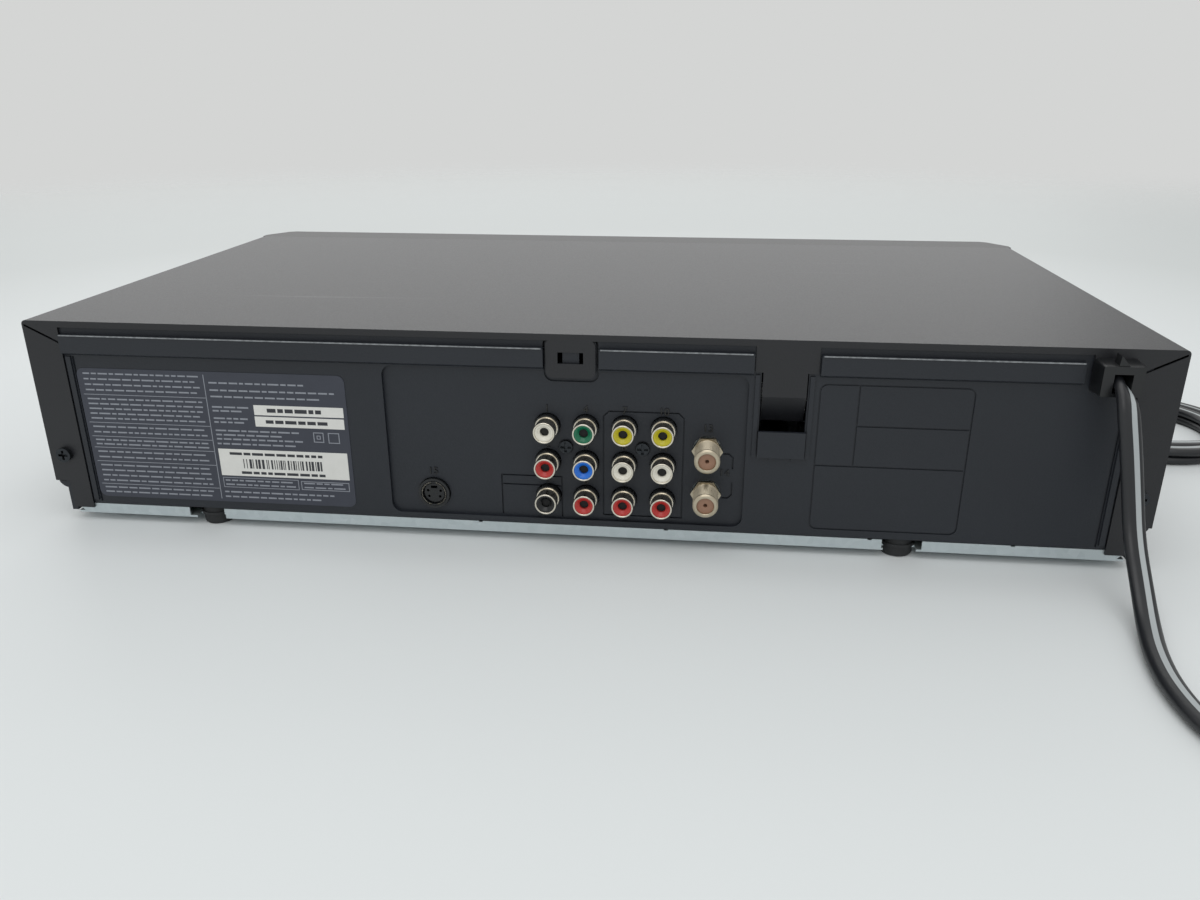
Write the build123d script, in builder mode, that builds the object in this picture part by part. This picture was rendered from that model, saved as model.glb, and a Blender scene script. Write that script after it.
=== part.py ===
"""Combination disc player and cassette recorder with its mains cord, in millimetres.

The origin is at the middle of the footprint, on the surface the feet stand on. +X is to the right
as seen from the front, the front faces -Y and +Z is up. The rear panel with the jacks faces +Y.
"""

from build123d import *
import math
import os

os.makedirs("parts", exist_ok=True)

# ---------------------------------------------------------------- driving dimensions
# Case
WIDTH = 430.0
HEIGHT = 85.0
SHEET = 0.8
COVER_FRONT = -103.0
REAR = 113.0
BEZEL_FRONT = -123.0
BEZEL_WALL = 2.5
PAN_Z = 3.3
PAN_TOP = PAN_Z + SHEET
HEM_Z = 17.7
SKIRT_X = 211.0
SKIRT_WALL = 2.5
CHASSIS_TOP = 30.0

# Rear panel
PANEL_X = 204.3
PANEL_Y = (109.0, 112.0)
PANEL_Z = (7.9, 83.6)
WINDOW_X = 200.5
WINDOW_TOP = 82.5
RECESS_X = (-66.1, 72.5)
RECESS_Z = (10.1, 71.0)
RECESS_FLOOR = 110.4
LIP_Z = (72.2, 79.9)
LIP_Y = 114.4
MOUTH_X = (-87.3, -70.4)

# Jacks
PHONO_R = 4.15
PHONO_BORE_R = 3.5
PHONO_PIN_R = 1.75
PHONO_ROOT_R = 4.4
PHONO_COLLAR_R = 4.9
PHONO_FACE = 113.4
PHONO_TIP = 119.5
PHONO_COLUMNS = (9.2, -5.6, -20.4, -35.2)
PHONO_ROWS = (48.5, 33.95, 19.4)
PHONO_COLOURS = (
    ("white", "red", "black"),
    ("green", "blue", "red"),
    ("yellow", "white", "red"),
    ("yellow", "white", "red"),
)
FRONT_PHONO = ((-186.0, "yellow"), (-171.0, "white"), (-156.0, "red"))
FRONT_PHONO_Z = 18.0
FRONT_PHONO_TIP = -122.9
FRONT_JACK_FACE = -116.0
FRONT_JACK_ROOT = -112.0
AERIAL_X = -51.85
AERIAL_ROWS = (40.8, 23.1)
AERIAL_R = 4.76
AERIAL_TIP = 123.0
SVIDEO = (55.2, 18.6)

# Feet and screws
REAR_FEET = ((150.0, 105.2), (-126.3, 105.2))
FRONT_FEET = ((170.0, -88.0), (-170.0, -88.0))
COVER_SCREWS = (208.2, -208.2)
COVER_SCREW_Z = 29.6
JACK_SCREWS = ((2.1, 40.3), (-27.4, 40.5))

# Cassette deck
DECK_X = -100.0
DECK_Z = (12.0, 13.5)
SLOT_X = (-196.0, -4.0)
SLOT_Z = (40.0, 71.0)
DOOR_AXIS = (-121.2, 69.4)
BASKET_Y = (-86.0, -26.0)
BASKET_Z = (40.5, 69.5)
REEL_X = 46.0
REEL_Y = -47.0
DRUM = (-100.0, 45.0)
DRUM_R = 31.0
DRUM_TILT = 5.0
CAPSTAN = (-45.0, 24.0)
PINCH_PIVOT = (-24.0, 50.0)
PINCH_ROLLER = (-22.5, 20.8)

# Disc deck
DISC_X = 112.0
DISC_Y = -50.0
TRAY_SLOT_X = (38.0, 186.0)
TRAY_SLOT_Z = (52.0, 70.0)
TRAY_Y = (-118.0, 46.0)
TRAY_Z = (57.0, 62.0)
PINION = (50.0, -98.0)
PINION_TEETH = 16
GEAR_MODULE = 1.0
MOTOR = (72.0, -86.0)
PULLEY_R = 2.4
TRAVERSE_AXIS = (42.0, 45.0)
ROD_Z = 50.5
ROD_X = 138.0
SCREW_X = 86.0

# Buttons on the front: name, x, z, width, height (a height of 0 makes a round one)
BUTTONS = (
    ("power", -190.0, 33.0, 11.0, 0.0),
    ("open_close", 17.0, 61.0, 14.0, 6.0),
    ("eject", 17.0, 47.0, 14.0, 6.0),
    ("rewind", -128.0, 22.0, 17.0, 6.0),
    ("play", -104.0, 22.0, 17.0, 6.0),
    ("forward", -80.0, 22.0, 17.0, 6.0),
    ("stop", -56.0, 22.0, 17.0, 6.0),
    ("record", -32.0, 22.0, 17.0, 6.0),
)
BUTTON_GAP = 0.2
BOARD_Y = (-110.4, -108.8)

# Mains cord: two conductors side by side, drawn as the round tube of the same section area
CORD_R = 2.9
CORD_LENGTH = 1550.0
COIL_CENTRE = (-274.0, -45.0)
COIL_MEAN_R = 39.5
COIL_BUNDLE = (15.4, 8.2)
CORD_EXIT = (-191.2, 121.0, 74.6)


# ---------------------------------------------------------------- shared building steps
def facing(y):
    """A plane at depth y, with x to the right and z up; extruding from it runs to the front."""
    return Plane.XZ.offset(-y)


def flat(z):
    """A level plane at height z."""
    return Plane.XY.offset(z)


def block(x, y, z, mode=Mode.ADD):
    """A box between the low and high limits given for each axis."""
    with Locations((sum(x) / 2, sum(y) / 2, sum(z) / 2)):
        Box(x[1] - x[0], y[1] - y[0], z[1] - z[0], mode=mode)


def post(x, y, z, radius, mode=Mode.ADD):
    """An upright cylinder between two heights."""
    with Locations((x, y, z[0])):
        Cylinder(radius, z[1] - z[0], align=(Align.CENTER, Align.CENTER, Align.MIN), mode=mode)


def barrel(x, z, y, radius, mode=Mode.ADD):
    """A cylinder lying along the depth, between two depths."""
    with Locations(Location(Plane((x, y[0], z), z_dir=(0, 1, 0)))):
        Cylinder(radius, y[1] - y[0], align=(Align.CENTER, Align.CENTER, Align.MIN), mode=mode)


def roller(y, z, x, radius, mode=Mode.ADD):
    """A cylinder lying across the width, between two widths."""
    with Locations(Location(Plane((x[0], y, z), z_dir=(1, 0, 0)))):
        Cylinder(radius, x[1] - x[0], align=(Align.CENTER, Align.CENTER, Align.MIN), mode=mode)


def cross_recess(x, z, y, size, mode=Mode.SUBTRACT):
    """A Phillips cross sunk into a screw head whose face is at depth y[1]."""
    block((x - size, x + size), y, (z - size / 4, z + size / 4), mode)
    block((x - size / 4, x + size / 4), y, (z - size, z + size), mode)


# ---------------------------------------------------------------- case
# Top cover: one folded sheet, open to the front and below. Its rear flange has a latch tongue, a
# hook tab and two side ears, mitred at the corners.
with BuildPart() as top_cover:
    with BuildSketch(facing(REAR)):
        with Locations((0, HEM_Z)):
            Rectangle(WIDTH, HEIGHT - HEM_Z, align=(Align.CENTER, Align.MIN))
        fillet(vertices().group_by(Axis.Y)[-1], 1.6)
        with Locations((0, HEM_Z)):
            Rectangle(
                WIDTH - 2 * SHEET,
                HEIGHT - HEM_Z - SHEET,
                align=(Align.CENTER, Align.MIN),
                mode=Mode.SUBTRACT,
            )
    extrude(amount=REAR - COVER_FRONT)
    with BuildSketch(facing(REAR)):
        with Locations((0, HEM_Z)):
            Rectangle(WIDTH - 1, HEIGHT - HEM_Z - 0.5, align=(Align.CENTER, Align.MIN))
        with Locations((204.75, 6), (-204.75, 6)):
            Rectangle(8.5, 14, align=(Align.CENTER, Align.MIN))
        with Locations((0, 5)):
            Rectangle(
                2 * WINDOW_X,
                WINDOW_TOP - 5,
                align=(Align.CENTER, Align.MIN),
                mode=Mode.SUBTRACT,
            )
        with Locations((-192.5, 79.5)):
            Rectangle(17, 7)
        with Locations((-0.3, 75.6)):
            RectangleRounded(18.6, 14.5, 2.4)
        with Locations((-79.3, 78)):
            Rectangle(22.6, 10.6)
        with Locations((-0.3, 75.95)):
            Rectangle(9.6, 4.3, mode=Mode.SUBTRACT)
        with Locations((-191.2, 75.6)):
            Rectangle(10.8, 10.2, mode=Mode.SUBTRACT)
        with Locations((COVER_SCREWS[0], COVER_SCREW_Z), (COVER_SCREWS[1], COVER_SCREW_Z)):
            Circle(1.75, mode=Mode.SUBTRACT)
        for side in (1, -1):
            with BuildLine():
                Line((side * 214.6, 83.4), (side * 199.5, 75.7))
            trace(line_width=0.8, mode=Mode.SUBTRACT)
    extrude(amount=SHEET)
    # The hook tab bends inwards on its way down.
    with BuildSketch(Plane.YZ.offset(-86.8)):
        with BuildLine():
            Polyline(
                (REAR, 73.5),
                (REAR, 63.5),
                (106.8, 52.5),
                (106.0, 52.5),
                (REAR - SHEET, 63.7),
                (REAR - SHEET, 73.5),
                close=True,
            )
        make_face()
    extrude(amount=15.9)
top_cover.part.label = "top_cover"
export_step(top_cover.part, "parts/top_cover.step")

# Chassis: moulded skirt round the sides and front, with the rounded bead under the cover's hem
# and two rear bosses that take the cover screws.
with BuildPart() as chassis_frame:
    for side in (1, -1):
        inner = side * (SKIRT_X - SKIRT_WALL)
        outer = side * SKIRT_X
        block(sorted((inner, outer)), (COVER_FRONT + 0.5, PANEL_Y[1]), (4.3, CHASSIS_TOP))
        with BuildSketch(facing(PANEL_Y[1])):
            with BuildLine():
                edge = Line((outer, 17.1), (side * 214.4, 17.1))
                bead = RadiusArc(edge @ 1, (outer, 14.3), side * 4.6)
                Line(bead @ 1, edge @ 0)
            make_face()
        extrude(amount=PANEL_Y[1] - COVER_FRONT - 0.5)
        boss = (COVER_SCREWS[0] if side > 0 else COVER_SCREWS[1]) - side * 0.4
        barrel(boss, COVER_SCREW_Z, (96, PANEL_Y[1] + 0.15), 3.3)
        barrel(side * COVER_SCREWS[0], COVER_SCREW_Z, (100, 113), 1.55, Mode.SUBTRACT)
    block((-SKIRT_X, SKIRT_X), (COVER_FRONT + 0.5, COVER_FRONT + 3), (4.3, CHASSIS_TOP))
    # Low ribs across the front wall carry the bezel's clips.
    for x in (-150, -50, 50, 150):
        block((x - 6, x + 6), (COVER_FRONT + 3, COVER_FRONT + 5), (4.3, 24))
chassis_frame.part.label = "chassis_frame"
export_step(chassis_frame.part, "parts/chassis_frame.step")

# Bottom pan: galvanised sheet whose rear edge turns up as the bright strip under the rear panel,
# cut away round the rear feet. Stamped pips carry the boards.
PAN_PIPS = ((12, -88), (100, -88), (193, -88), (12, 97), (193, 97), (-58, 97), (100, 20))
POWER_PIPS = ((-191, 90), (-191, 103), (-81, 90), (-81, 103))
with BuildPart() as bottom_pan:
    block((-208, 208), (-118, 112), (PAN_Z, PAN_TOP))
    with BuildSketch(facing(112)):
        with Locations((0, PAN_Z)):
            Rectangle(416, 4.3, align=(Align.CENTER, Align.MIN))
        for x in (36.8, -37.0, -114.9, -167.7):
            with Locations((x, 7.6)):
                Rectangle(1.6, 0.9, mode=Mode.SUBTRACT)
        for x in (REAR_FEET[0][0] + 1.7, REAR_FEET[1][0] - 0.7):
            with Locations((x, 5.2)):
                RectangleRounded(15, 11.6, 1.6, mode=Mode.SUBTRACT)
        # The strip's ends slope in to the floor of the pan.
        for side in (1, -1):
            with BuildLine():
                Polyline((side * 209, 8), (side * 209, 3), (side * 204.5, 3), close=True)
            make_face(mode=Mode.SUBTRACT)
    extrude(amount=SHEET)
    for x, y in REAR_FEET:
        post(x, y, (PAN_Z - 1, PAN_TOP + 1), 6.2, Mode.SUBTRACT)
        block((x - 6.2, x + 6.2), (y + 3, REAR), (PAN_Z - 1, PAN_TOP + 1), Mode.SUBTRACT)
    for x, y in FRONT_FEET:
        post(x, y, (PAN_Z - 1, PAN_TOP + 1), 3.15, Mode.SUBTRACT)
    for x in (-60, 60):
        for k in range(7):
            slot = (-60 + 9 * k, -57 + 9 * k)
            block((x - 20, x + 20), slot, (PAN_Z - 1, PAN_TOP + 1), Mode.SUBTRACT)
    for x, y in PAN_PIPS:
        post(x, y, (PAN_TOP - 0.4, 9.0), 3)
    for x, y in POWER_PIPS:
        post(x, y, (PAN_TOP - 0.4, 10.0), 3)
bottom_pan.part.label = "bottom_pan"
export_step(bottom_pan.part, "parts/bottom_pan.step")

# Rear panel: moulded plate with the sunk jack field, raised lips under the cover's rear edge, the
# hook pocket, the engraved line frames and the holes for the jacks, screws and cord bushing.
with BuildPart() as rear_panel:
    block((-PANEL_X, PANEL_X), PANEL_Y, PANEL_Z)
    with BuildSketch(facing(PANEL_Y[1])):
        with Locations((sum(RECESS_X) / 2, sum(RECESS_Z) / 2)):
            RectangleRounded(RECESS_X[1] - RECESS_X[0], RECESS_Z[1] - RECESS_Z[0], 4)
    extrude(amount=PANEL_Y[1] - RECESS_FLOOR, mode=Mode.SUBTRACT)
    for x0, x1 in ((9.8, 200.1), (-67.5, -11.0), (-181.3, -91.2)):
        with BuildSketch(Plane.YZ.offset(x0)):
            with BuildLine():
                Polyline(
                    (PANEL_Y[1] - 1, LIP_Z[0] - 0.9),
                    (PANEL_Y[1], LIP_Z[0] - 0.9),
                    (LIP_Y, LIP_Z[0] + 0.4),
                    (LIP_Y, LIP_Z[1]),
                    (PANEL_Y[1] - 1, LIP_Z[1]),
                    close=True,
                )
            make_face()
        extrude(amount=x1 - x0)
        block((x0, x1), (LIP_Y - 0.5, LIP_Y + 0.35), (LIP_Z[1] - 0.5, LIP_Z[1]))
    # Ridges beside the window's edges, and the pocket that takes the hook tab.
    block((197.9, 199.9), (PANEL_Y[1] - 1, 112.7), (9.5, 70.8))
    block((-199.9, -197.9), (PANEL_Y[1] - 1, 112.7), (9.5, 69.5))
    for x in (MOUTH_X[0] - 2.2, MOUTH_X[1] + 0.6):
        block((x, x + 1.6), (PANEL_Y[1] - 1, 112.8), (39.5, 71.6))
    block((MOUTH_X[0] - 0.2, MOUTH_X[1] + 0.2), (PANEL_Y[1] - 1, 114.6), (40.2, 50.4))
    block(MOUTH_X, (PANEL_Y[0] - 1, 113.2), (42, 50.6), Mode.SUBTRACT)
    block(MOUTH_X, (PANEL_Y[0] - 1, 116), (50.6, 83), Mode.SUBTRACT)
    for x in (-76.2, -84.4):
        block((x, x + 1.4), (PANEL_Y[1] - 1, 113.4), (38.8, 40.4))
    # Latch window with its catch behind the tongue, and the groove that runs round the tongue.
    block((-5.4, 4.8), (PANEL_Y[0] - 1, 116), (73.2, 78.7), Mode.SUBTRACT)
    block((-3.4, 2.8), (PANEL_Y[0], 111.6), (72.5, 77.7))
    with BuildSketch(facing(PANEL_Y[1])):
        with Locations((-0.3, 75.2)):
            RectangleRounded(20.8, 18.0, 3.4)
            RectangleRounded(19.2, 16.4, 2.8, mode=Mode.SUBTRACT)
    extrude(amount=PANEL_Y[1] - RECESS_FLOOR + 0.8, mode=Mode.SUBTRACT)
    # Jack holes, screw holes and the cord opening.
    for x in PHONO_COLUMNS:
        for z in PHONO_ROWS:
            barrel(x, z, (100, 116), PHONO_COLLAR_R + 0.3, Mode.SUBTRACT)
    for z in AERIAL_ROWS:
        barrel(AERIAL_X, z, (100, 116), AERIAL_R + 0.9, Mode.SUBTRACT)
    barrel(*SVIDEO, (100, 116), 6.5, Mode.SUBTRACT)
    for x, z in JACK_SCREWS:
        barrel(x, z, (100, 116), 1.5, Mode.SUBTRACT)
        barrel(x, z, (RECESS_FLOOR - 0.6, 116), 3.0, Mode.SUBTRACT)
    block((-196.6, -185.8), (100, 116), (70.5, 80.7), Mode.SUBTRACT)
    for side in (1, -1):
        barrel(side * COVER_SCREWS[0], COVER_SCREW_Z, (100, 116), 4.2, Mode.SUBTRACT)
    # Engraved frames: digital output, line group, aerial bracket and the notice panel.
    with BuildSketch(facing(RECESS_FLOOR)):
        with BuildLine():
            Polyline((27.7, 10.6), (27.7, 27.5), (3.9, 27.5), (3.9, 10.6))
        trace(line_width=0.6)
        with BuildLine():
            Line((27.7, 23.6), (3.9, 23.6))
        trace(line_width=0.6)
        with BuildLine():
            Polyline((-12.4, 12.2), (-12.4, 53.1), (-14.4, 55.1), (-40.8, 55.1), (-42.8, 53.1))
        trace(line_width=0.6)
        with BuildLine():
            Polyline((-42.8, 53.1), (-42.8, 12.2), (-12.4, 12.2))
        trace(line_width=0.6)
        with BuildLine():
            Polyline((-58, 39.6), (-60.2, 39.6), (-61.6, 38.2), (-61.6, 33.5))
        trace(line_width=0.6)
        with BuildLine():
            Polyline((-61.6, 28.1), (-61.6, 22.9), (-60.2, 21.5), (-58, 21.5))
        trace(line_width=0.6)
    extrude(amount=0.8, mode=Mode.SUBTRACT)
    with BuildSketch(facing(PANEL_Y[1])):
        with Locations((-118.9, 39.9)):
            RectangleRounded(55, 58.2, 3)
            RectangleRounded(53.8, 57.0, 2.4, mode=Mode.SUBTRACT)
        with Locations((-126.05, 53)):
            Rectangle(40.7, 0.6)
        with Locations((-118.9, 37.1)):
            Rectangle(55, 0.6)
        with Locations((-105.7, 53)):
            Rectangle(0.6, 32)
        with Locations((196.9, 39.8), (-196.9, 39.8)):
            Rectangle(0.8, 62)
    extrude(amount=0.5, mode=Mode.SUBTRACT)
rear_panel.part.label = "rear_panel"
export_step(rear_panel.part, "parts/rear_panel.step")

# Feet: rear ones are short posts standing in the pan's cut-outs, front ones are discs with a stem.
with BuildPart() as rear_feet:
    for x, y in REAR_FEET:
        post(x, y, (0, 7.6), 6.0)
        post(x, y, (PAN_TOP + 0.1, 5.4), 6.7)
    fillet(edges().group_by(Axis.Z)[0], 1.0)
rear_feet.part.label = "rear_feet"
export_step(rear_feet.part, "parts/rear_feet.step")

with BuildPart() as front_feet:
    for x, y in FRONT_FEET:
        post(x, y, (0, PAN_Z), 9)
        post(x, y, (PAN_Z, 6.4), 3.05)
        post(x, y, (PAN_TOP + 0.1, 5.4), 4.2)
    fillet(edges().group_by(Axis.Z)[0], 1.0)
front_feet.part.label = "front_feet"
export_step(front_feet.part, "parts/front_feet.step")

# Screws: black, cross headed.
with BuildPart() as cover_screws:
    for x in COVER_SCREWS:
        barrel(x, COVER_SCREW_Z, (REAR, REAR + 1.9), 3.0)
        barrel(x, COVER_SCREW_Z, (101, REAR), 1.5)
        cross_recess(x, COVER_SCREW_Z, (REAR + 0.7, REAR + 3), 2.0)
cover_screws.part.label = "cover_screws"
export_step(cover_screws.part, "parts/cover_screws.step")

with BuildPart() as jack_screws:
    for x, z in JACK_SCREWS:
        barrel(x, z, (RECESS_FLOOR - 0.6, RECESS_FLOOR + 1.3), 2.5)
        barrel(x, z, (101, RECESS_FLOOR), 1.25)
        cross_recess(x, z, (RECESS_FLOOR + 0.2, RECESS_FLOOR + 3), 2.1)
jack_screws.part.label = "jack_screws"
export_step(jack_screws.part, "parts/jack_screws.step")


# ---------------------------------------------------------------- jacks
def phono_sleeve(x, z, root, tip):
    """The nickel shell of one phono jack: a wider root held in the block, and the open sleeve."""
    out = 1 if tip > root else -1
    face = PHONO_FACE if out > 0 else FRONT_JACK_FACE
    barrel(x, z, sorted((root, face)), PHONO_ROOT_R)
    barrel(x, z, sorted((root, tip)), PHONO_R)
    barrel(x, z, sorted((root - out, tip + out)), PHONO_BORE_R, Mode.SUBTRACT)
    rim = edges().filter_by(GeomType.CIRCLE)
    rim = [e for e in rim if abs(e.arc_center.Y - tip) < 0.01 and abs(e.arc_center.X - x) < 0.01]
    rim = [e for e in rim if abs(e.arc_center.Z - z) < 0.01]
    fillet(rim, 0.25)


def phono_insert(x, z, root, tip):
    """The coloured plastic inside a phono jack, with a funnel leading to the pin hole."""
    out = 1 if tip > root else -1
    barrel(x, z, sorted((root, tip)), PHONO_BORE_R - 0.02)
    barrel(x, z, sorted((root + out * 2, tip + out)), PHONO_PIN_R, Mode.SUBTRACT)
    mouth = Location(Plane((x, tip - out * 1.0, z), z_dir=(0, out, 0)))
    with Locations(mouth):
        Cone(PHONO_PIN_R, 2.9, 1.05, align=(Align.CENTER, Align.CENTER, Align.MIN), mode=Mode.SUBTRACT)


# Jack block: the black body that carries the twelve rear phono jacks, with a collar for each and
# the black insert of the digital output.
BLOCK_X = (-42.4, 16.4)
BLOCK_Y = (96.0, 108.8)
with BuildPart() as rca_block:
    block(BLOCK_X, BLOCK_Y, (10.7, 56))
    for x in PHONO_COLUMNS:
        for z in PHONO_ROWS:
            barrel(x, z, (BLOCK_Y[1] - 0.1, PHONO_FACE), PHONO_COLLAR_R)
            barrel(x, z, (106.0, 114), PHONO_ROOT_R + 0.01, Mode.SUBTRACT)
    for x, z in JACK_SCREWS:
        barrel(x, z, (99, 109), 1.3, Mode.SUBTRACT)
    phono_insert(PHONO_COLUMNS[0], PHONO_ROWS[2], 105.5, PHONO_TIP - 0.5)
rca_block.part.label = "rca_block"
export_step(rca_block.part, "parts/rca_block.step")

with BuildPart() as front_jack_block:
    block((-193, -149), (FRONT_JACK_FACE, BOARD_Y[0]), (11.5, 24.5))
    for x, colour in FRONT_PHONO:
        barrel(x, FRONT_PHONO_Z, (-120, FRONT_JACK_ROOT), PHONO_ROOT_R + 0.01, Mode.SUBTRACT)
front_jack_block.part.label = "front_jack_block"
export_step(front_jack_block.part, "parts/front_jack_block.step")

with BuildPart() as rca_sleeves:
    for x in PHONO_COLUMNS:
        for z in PHONO_ROWS:
            phono_sleeve(x, z, 106.1, PHONO_TIP)
    for x, colour in FRONT_PHONO:
        phono_sleeve(x, FRONT_PHONO_Z, FRONT_JACK_ROOT - 0.1, FRONT_PHONO_TIP)
rca_sleeves.part.label = "rca_sleeves"
export_step(rca_sleeves.part, "parts/rca_sleeves.step")

for colour in ("white", "red", "yellow", "green", "blue"):
    with BuildPart() as rca_insert:
        for column, x in enumerate(PHONO_COLUMNS):
            for row, z in enumerate(PHONO_ROWS):
                if PHONO_COLOURS[column][row] == colour:
                    phono_insert(x, z, 106.1, PHONO_TIP - 0.5)
        for x, front_colour in FRONT_PHONO:
            if front_colour == colour:
                phono_insert(x, FRONT_PHONO_Z, FRONT_JACK_ROOT - 0.1, FRONT_PHONO_TIP + 0.5)
    rca_insert.part.label = f"rca_{colour}"
    export_step(rca_insert.part, f"parts/rca_{colour}.step")

# Aerial jacks: nickel barrels with a hexagonal foot, and the pale insulator in each mouth.
with BuildPart() as rf_connectors:
    for z in AERIAL_ROWS:
        with BuildSketch(facing(112.0)):
            with Locations((AERIAL_X, z)):
                RegularPolygon(5.9, 6)
        extrude(amount=1.5)
        barrel(AERIAL_X, z, (108.2, 111), AERIAL_R + 0.4)
        barrel(AERIAL_X, z, (111, AERIAL_TIP), AERIAL_R)
        rim = edges().filter_by(GeomType.CIRCLE)
        rim = [e for e in rim if abs(e.arc_center.Y - AERIAL_TIP) < 0.01]
        chamfer([e for e in rim if abs(e.arc_center.Z - z) < 0.01], 0.5)
        barrel(AERIAL_X, z, (113.0, AERIAL_TIP + 1), 3.2, Mode.SUBTRACT)
    for z in AERIAL_ROWS:
        barrel(AERIAL_X, z, (113.02, AERIAL_TIP - 0.5), 3.15)
        barrel(AERIAL_X, z, (116, AERIAL_TIP), 0.6, Mode.SUBTRACT)
rf_connectors.part.label = "rf_connectors"
export_step(rf_connectors.part, "parts/rf_connectors.step")

# Tuner box: the screened can behind the aerial jacks.
with BuildPart() as tuner_box:
    block((-63, -43.2), (88, 108.1), (10.7, 52))
    fillet(edges().filter_by(Axis.Z), 0.8)
    for z in (16, 31, 46):
        block((-63.5, -62.6), (90, 106), (z, z + 1), Mode.SUBTRACT)
tuner_box.part.label = "tuner_box"
export_step(tuner_box.part, "parts/tuner_box.step")

# Four-pin video jack: black body, bright split ring, keyed insert with four holes.
with BuildPart() as svideo_jack:
    x, z = SVIDEO
    block((x - 7, x + 7), (97, 108.8), (10.7, 27))
    barrel(x, z, (108, 111.8), 6.25)
    barrel(x, z, (109.5, 112), 5.3, Mode.SUBTRACT)
    barrel(x, z, (109.4, 111.9), 5.1)
    barrel(x, z, (109.5, 112), 4.55, Mode.SUBTRACT)
    barrel(x, z, (109.4, 111.0), 4.0)
    for angle in (20, 160, 215, 325):
        px = x + 2.7 * math.cos(math.radians(angle))
        pz = z + 2.7 * math.sin(math.radians(angle))
        barrel(px, pz, (107, 112), 0.55, Mode.SUBTRACT)
    block((x - 1.3, x + 1.3), (107, 112), (z + 1.9, z + 3.0), Mode.SUBTRACT)
svideo_jack.part.label = "svideo_jack"
export_step(svideo_jack.part, "parts/svideo_jack.step")

# ---------------------------------------------------------------- front
# Bezel: moulded front with slanted corners, its openings, button holes and door hinge bosses.
with BuildPart() as front_bezel:
    with BuildSketch(flat(5)):
        with BuildLine() as plan:
            Polyline(
                (-215, COVER_FRONT - 0.1),
                (-215, -108),
                (-206.5, -121),
                (-203, BEZEL_FRONT),
                (203, BEZEL_FRONT),
                (206.5, -121),
                (215, -108),
                (215, COVER_FRONT - 0.1),
                close=True,
            )
        make_face()
    extrude(amount=HEIGHT - 5)
    fillet(edges().filter_by(Axis.Z).group_by(Axis.Y)[0], 1.5)
    with BuildSketch(flat(5 + BEZEL_WALL)):
        with BuildLine():
            Polyline(
                (-212.5, COVER_FRONT + 1),
                (-212.5, -108.8),
                (-205.5, BEZEL_FRONT + BEZEL_WALL),
                (205.5, BEZEL_FRONT + BEZEL_WALL),
                (212.5, -108.8),
                (212.5, COVER_FRONT + 1),
                close=True,
            )
        make_face()
    extrude(amount=HEIGHT - 5 - 2 * BEZEL_WALL, mode=Mode.SUBTRACT)
    # Bosses for the cassette door's pins.
    for x in ((-200, -196), (-4, 0)):
        block(x, (BEZEL_FRONT + 1, -118), (66.4, 72.4))
    roller(*DOOR_AXIS, (-199, -1), 1.3, Mode.SUBTRACT)
    block(SLOT_X, (BEZEL_FRONT - 1, -110), SLOT_Z, Mode.SUBTRACT)
    block(TRAY_SLOT_X, (BEZEL_FRONT - 1, -110), TRAY_SLOT_Z, Mode.SUBTRACT)
    block((50, 174), (BEZEL_FRONT - 1, -110), (28, 46), Mode.SUBTRACT)
    for x, colour in FRONT_PHONO:
        barrel(x, FRONT_PHONO_Z, (BEZEL_FRONT - 1, -110), 5.5, Mode.SUBTRACT)
    with BuildSketch(facing(-110)):
        for name, x, z, wide, tall in BUTTONS:
            with Locations((x, z)):
                if tall:
                    RectangleRounded(wide, tall, 1.5)
                else:
                    Circle(wide / 2)
    extrude(amount=20, mode=Mode.SUBTRACT)
    # A shallow feature line runs under the openings.
    block((-200, 200), (BEZEL_FRONT - 1, BEZEL_FRONT + 0.6), (26.6, 27.4), Mode.SUBTRACT)
front_bezel.part.label = "front_bezel"
export_step(front_bezel.part, "parts/front_bezel.step")

with BuildPart() as display_window:
    block((50.15, 173.85), (-122.7, -120.5), (28.15, 45.85))
    block((48, 176), (-120.5, -119.3), (27, 47.2))
    fillet(edges().filter_by(Axis.Y).group_by(Axis.Y)[0], 1.0)
display_window.part.label = "display_window"
export_step(display_window.part, "parts/display_window.step")

# Buttons: cap in the bezel's hole, a retaining flange behind the wall and a stem to the switch.
STEM_END = -115.3
for name, x, z, wide, tall in BUTTONS:
    with BuildPart() as button:
        with BuildSketch(facing(-119.4)):
            with Locations((x, z)):
                if tall:
                    RectangleRounded(wide - 2 * BUTTON_GAP, tall - 2 * BUTTON_GAP, 1.3)
                else:
                    Circle(wide / 2 - BUTTON_GAP)
        extrude(amount=3.3)
        fillet(faces().sort_by(Axis.Y)[0].edges(), 0.5)
        half_wide = wide / 2 + 1.6
        half_tall = (tall if tall else wide) / 2 + 1
        block((x - half_wide, x + half_wide), (-120.3, -119.3), (z - half_tall, z + half_tall))
        block((x - 1.5, x + 1.5), (-119.3, STEM_END), (z - 1.5, z + 1.5))
    button.part.label = f"{name}_button"
    export_step(button.part, f"parts/{name}_button.step")

# Control board behind the front: board, display module and one switch behind each button.
with BuildPart() as front_board:
    block((-200, 180), BOARD_Y, (8.5, 38))
    block((44, 180), BOARD_Y, (36, 48.5))
    block((8, 26), BOARD_Y, (36, 67))
    block((54, 170), (-118, BOARD_Y[0]), (29, 45))
    for name, x, z, wide, tall in BUTTONS:
        block((x - 3, x + 3), (-113.6, BOARD_Y[0]), (z - 3, z + 3))
        barrel(x, z, (-114.4, -113.6), 1.6)
    for x in (-140, 0, 140):
        block((x - 4, x + 4), (BOARD_Y[1], COVER_FRONT + 0.4), (10, 20))
front_board.part.label = "front_board"
export_step(front_board.part, "parts/front_board.step")

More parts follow.
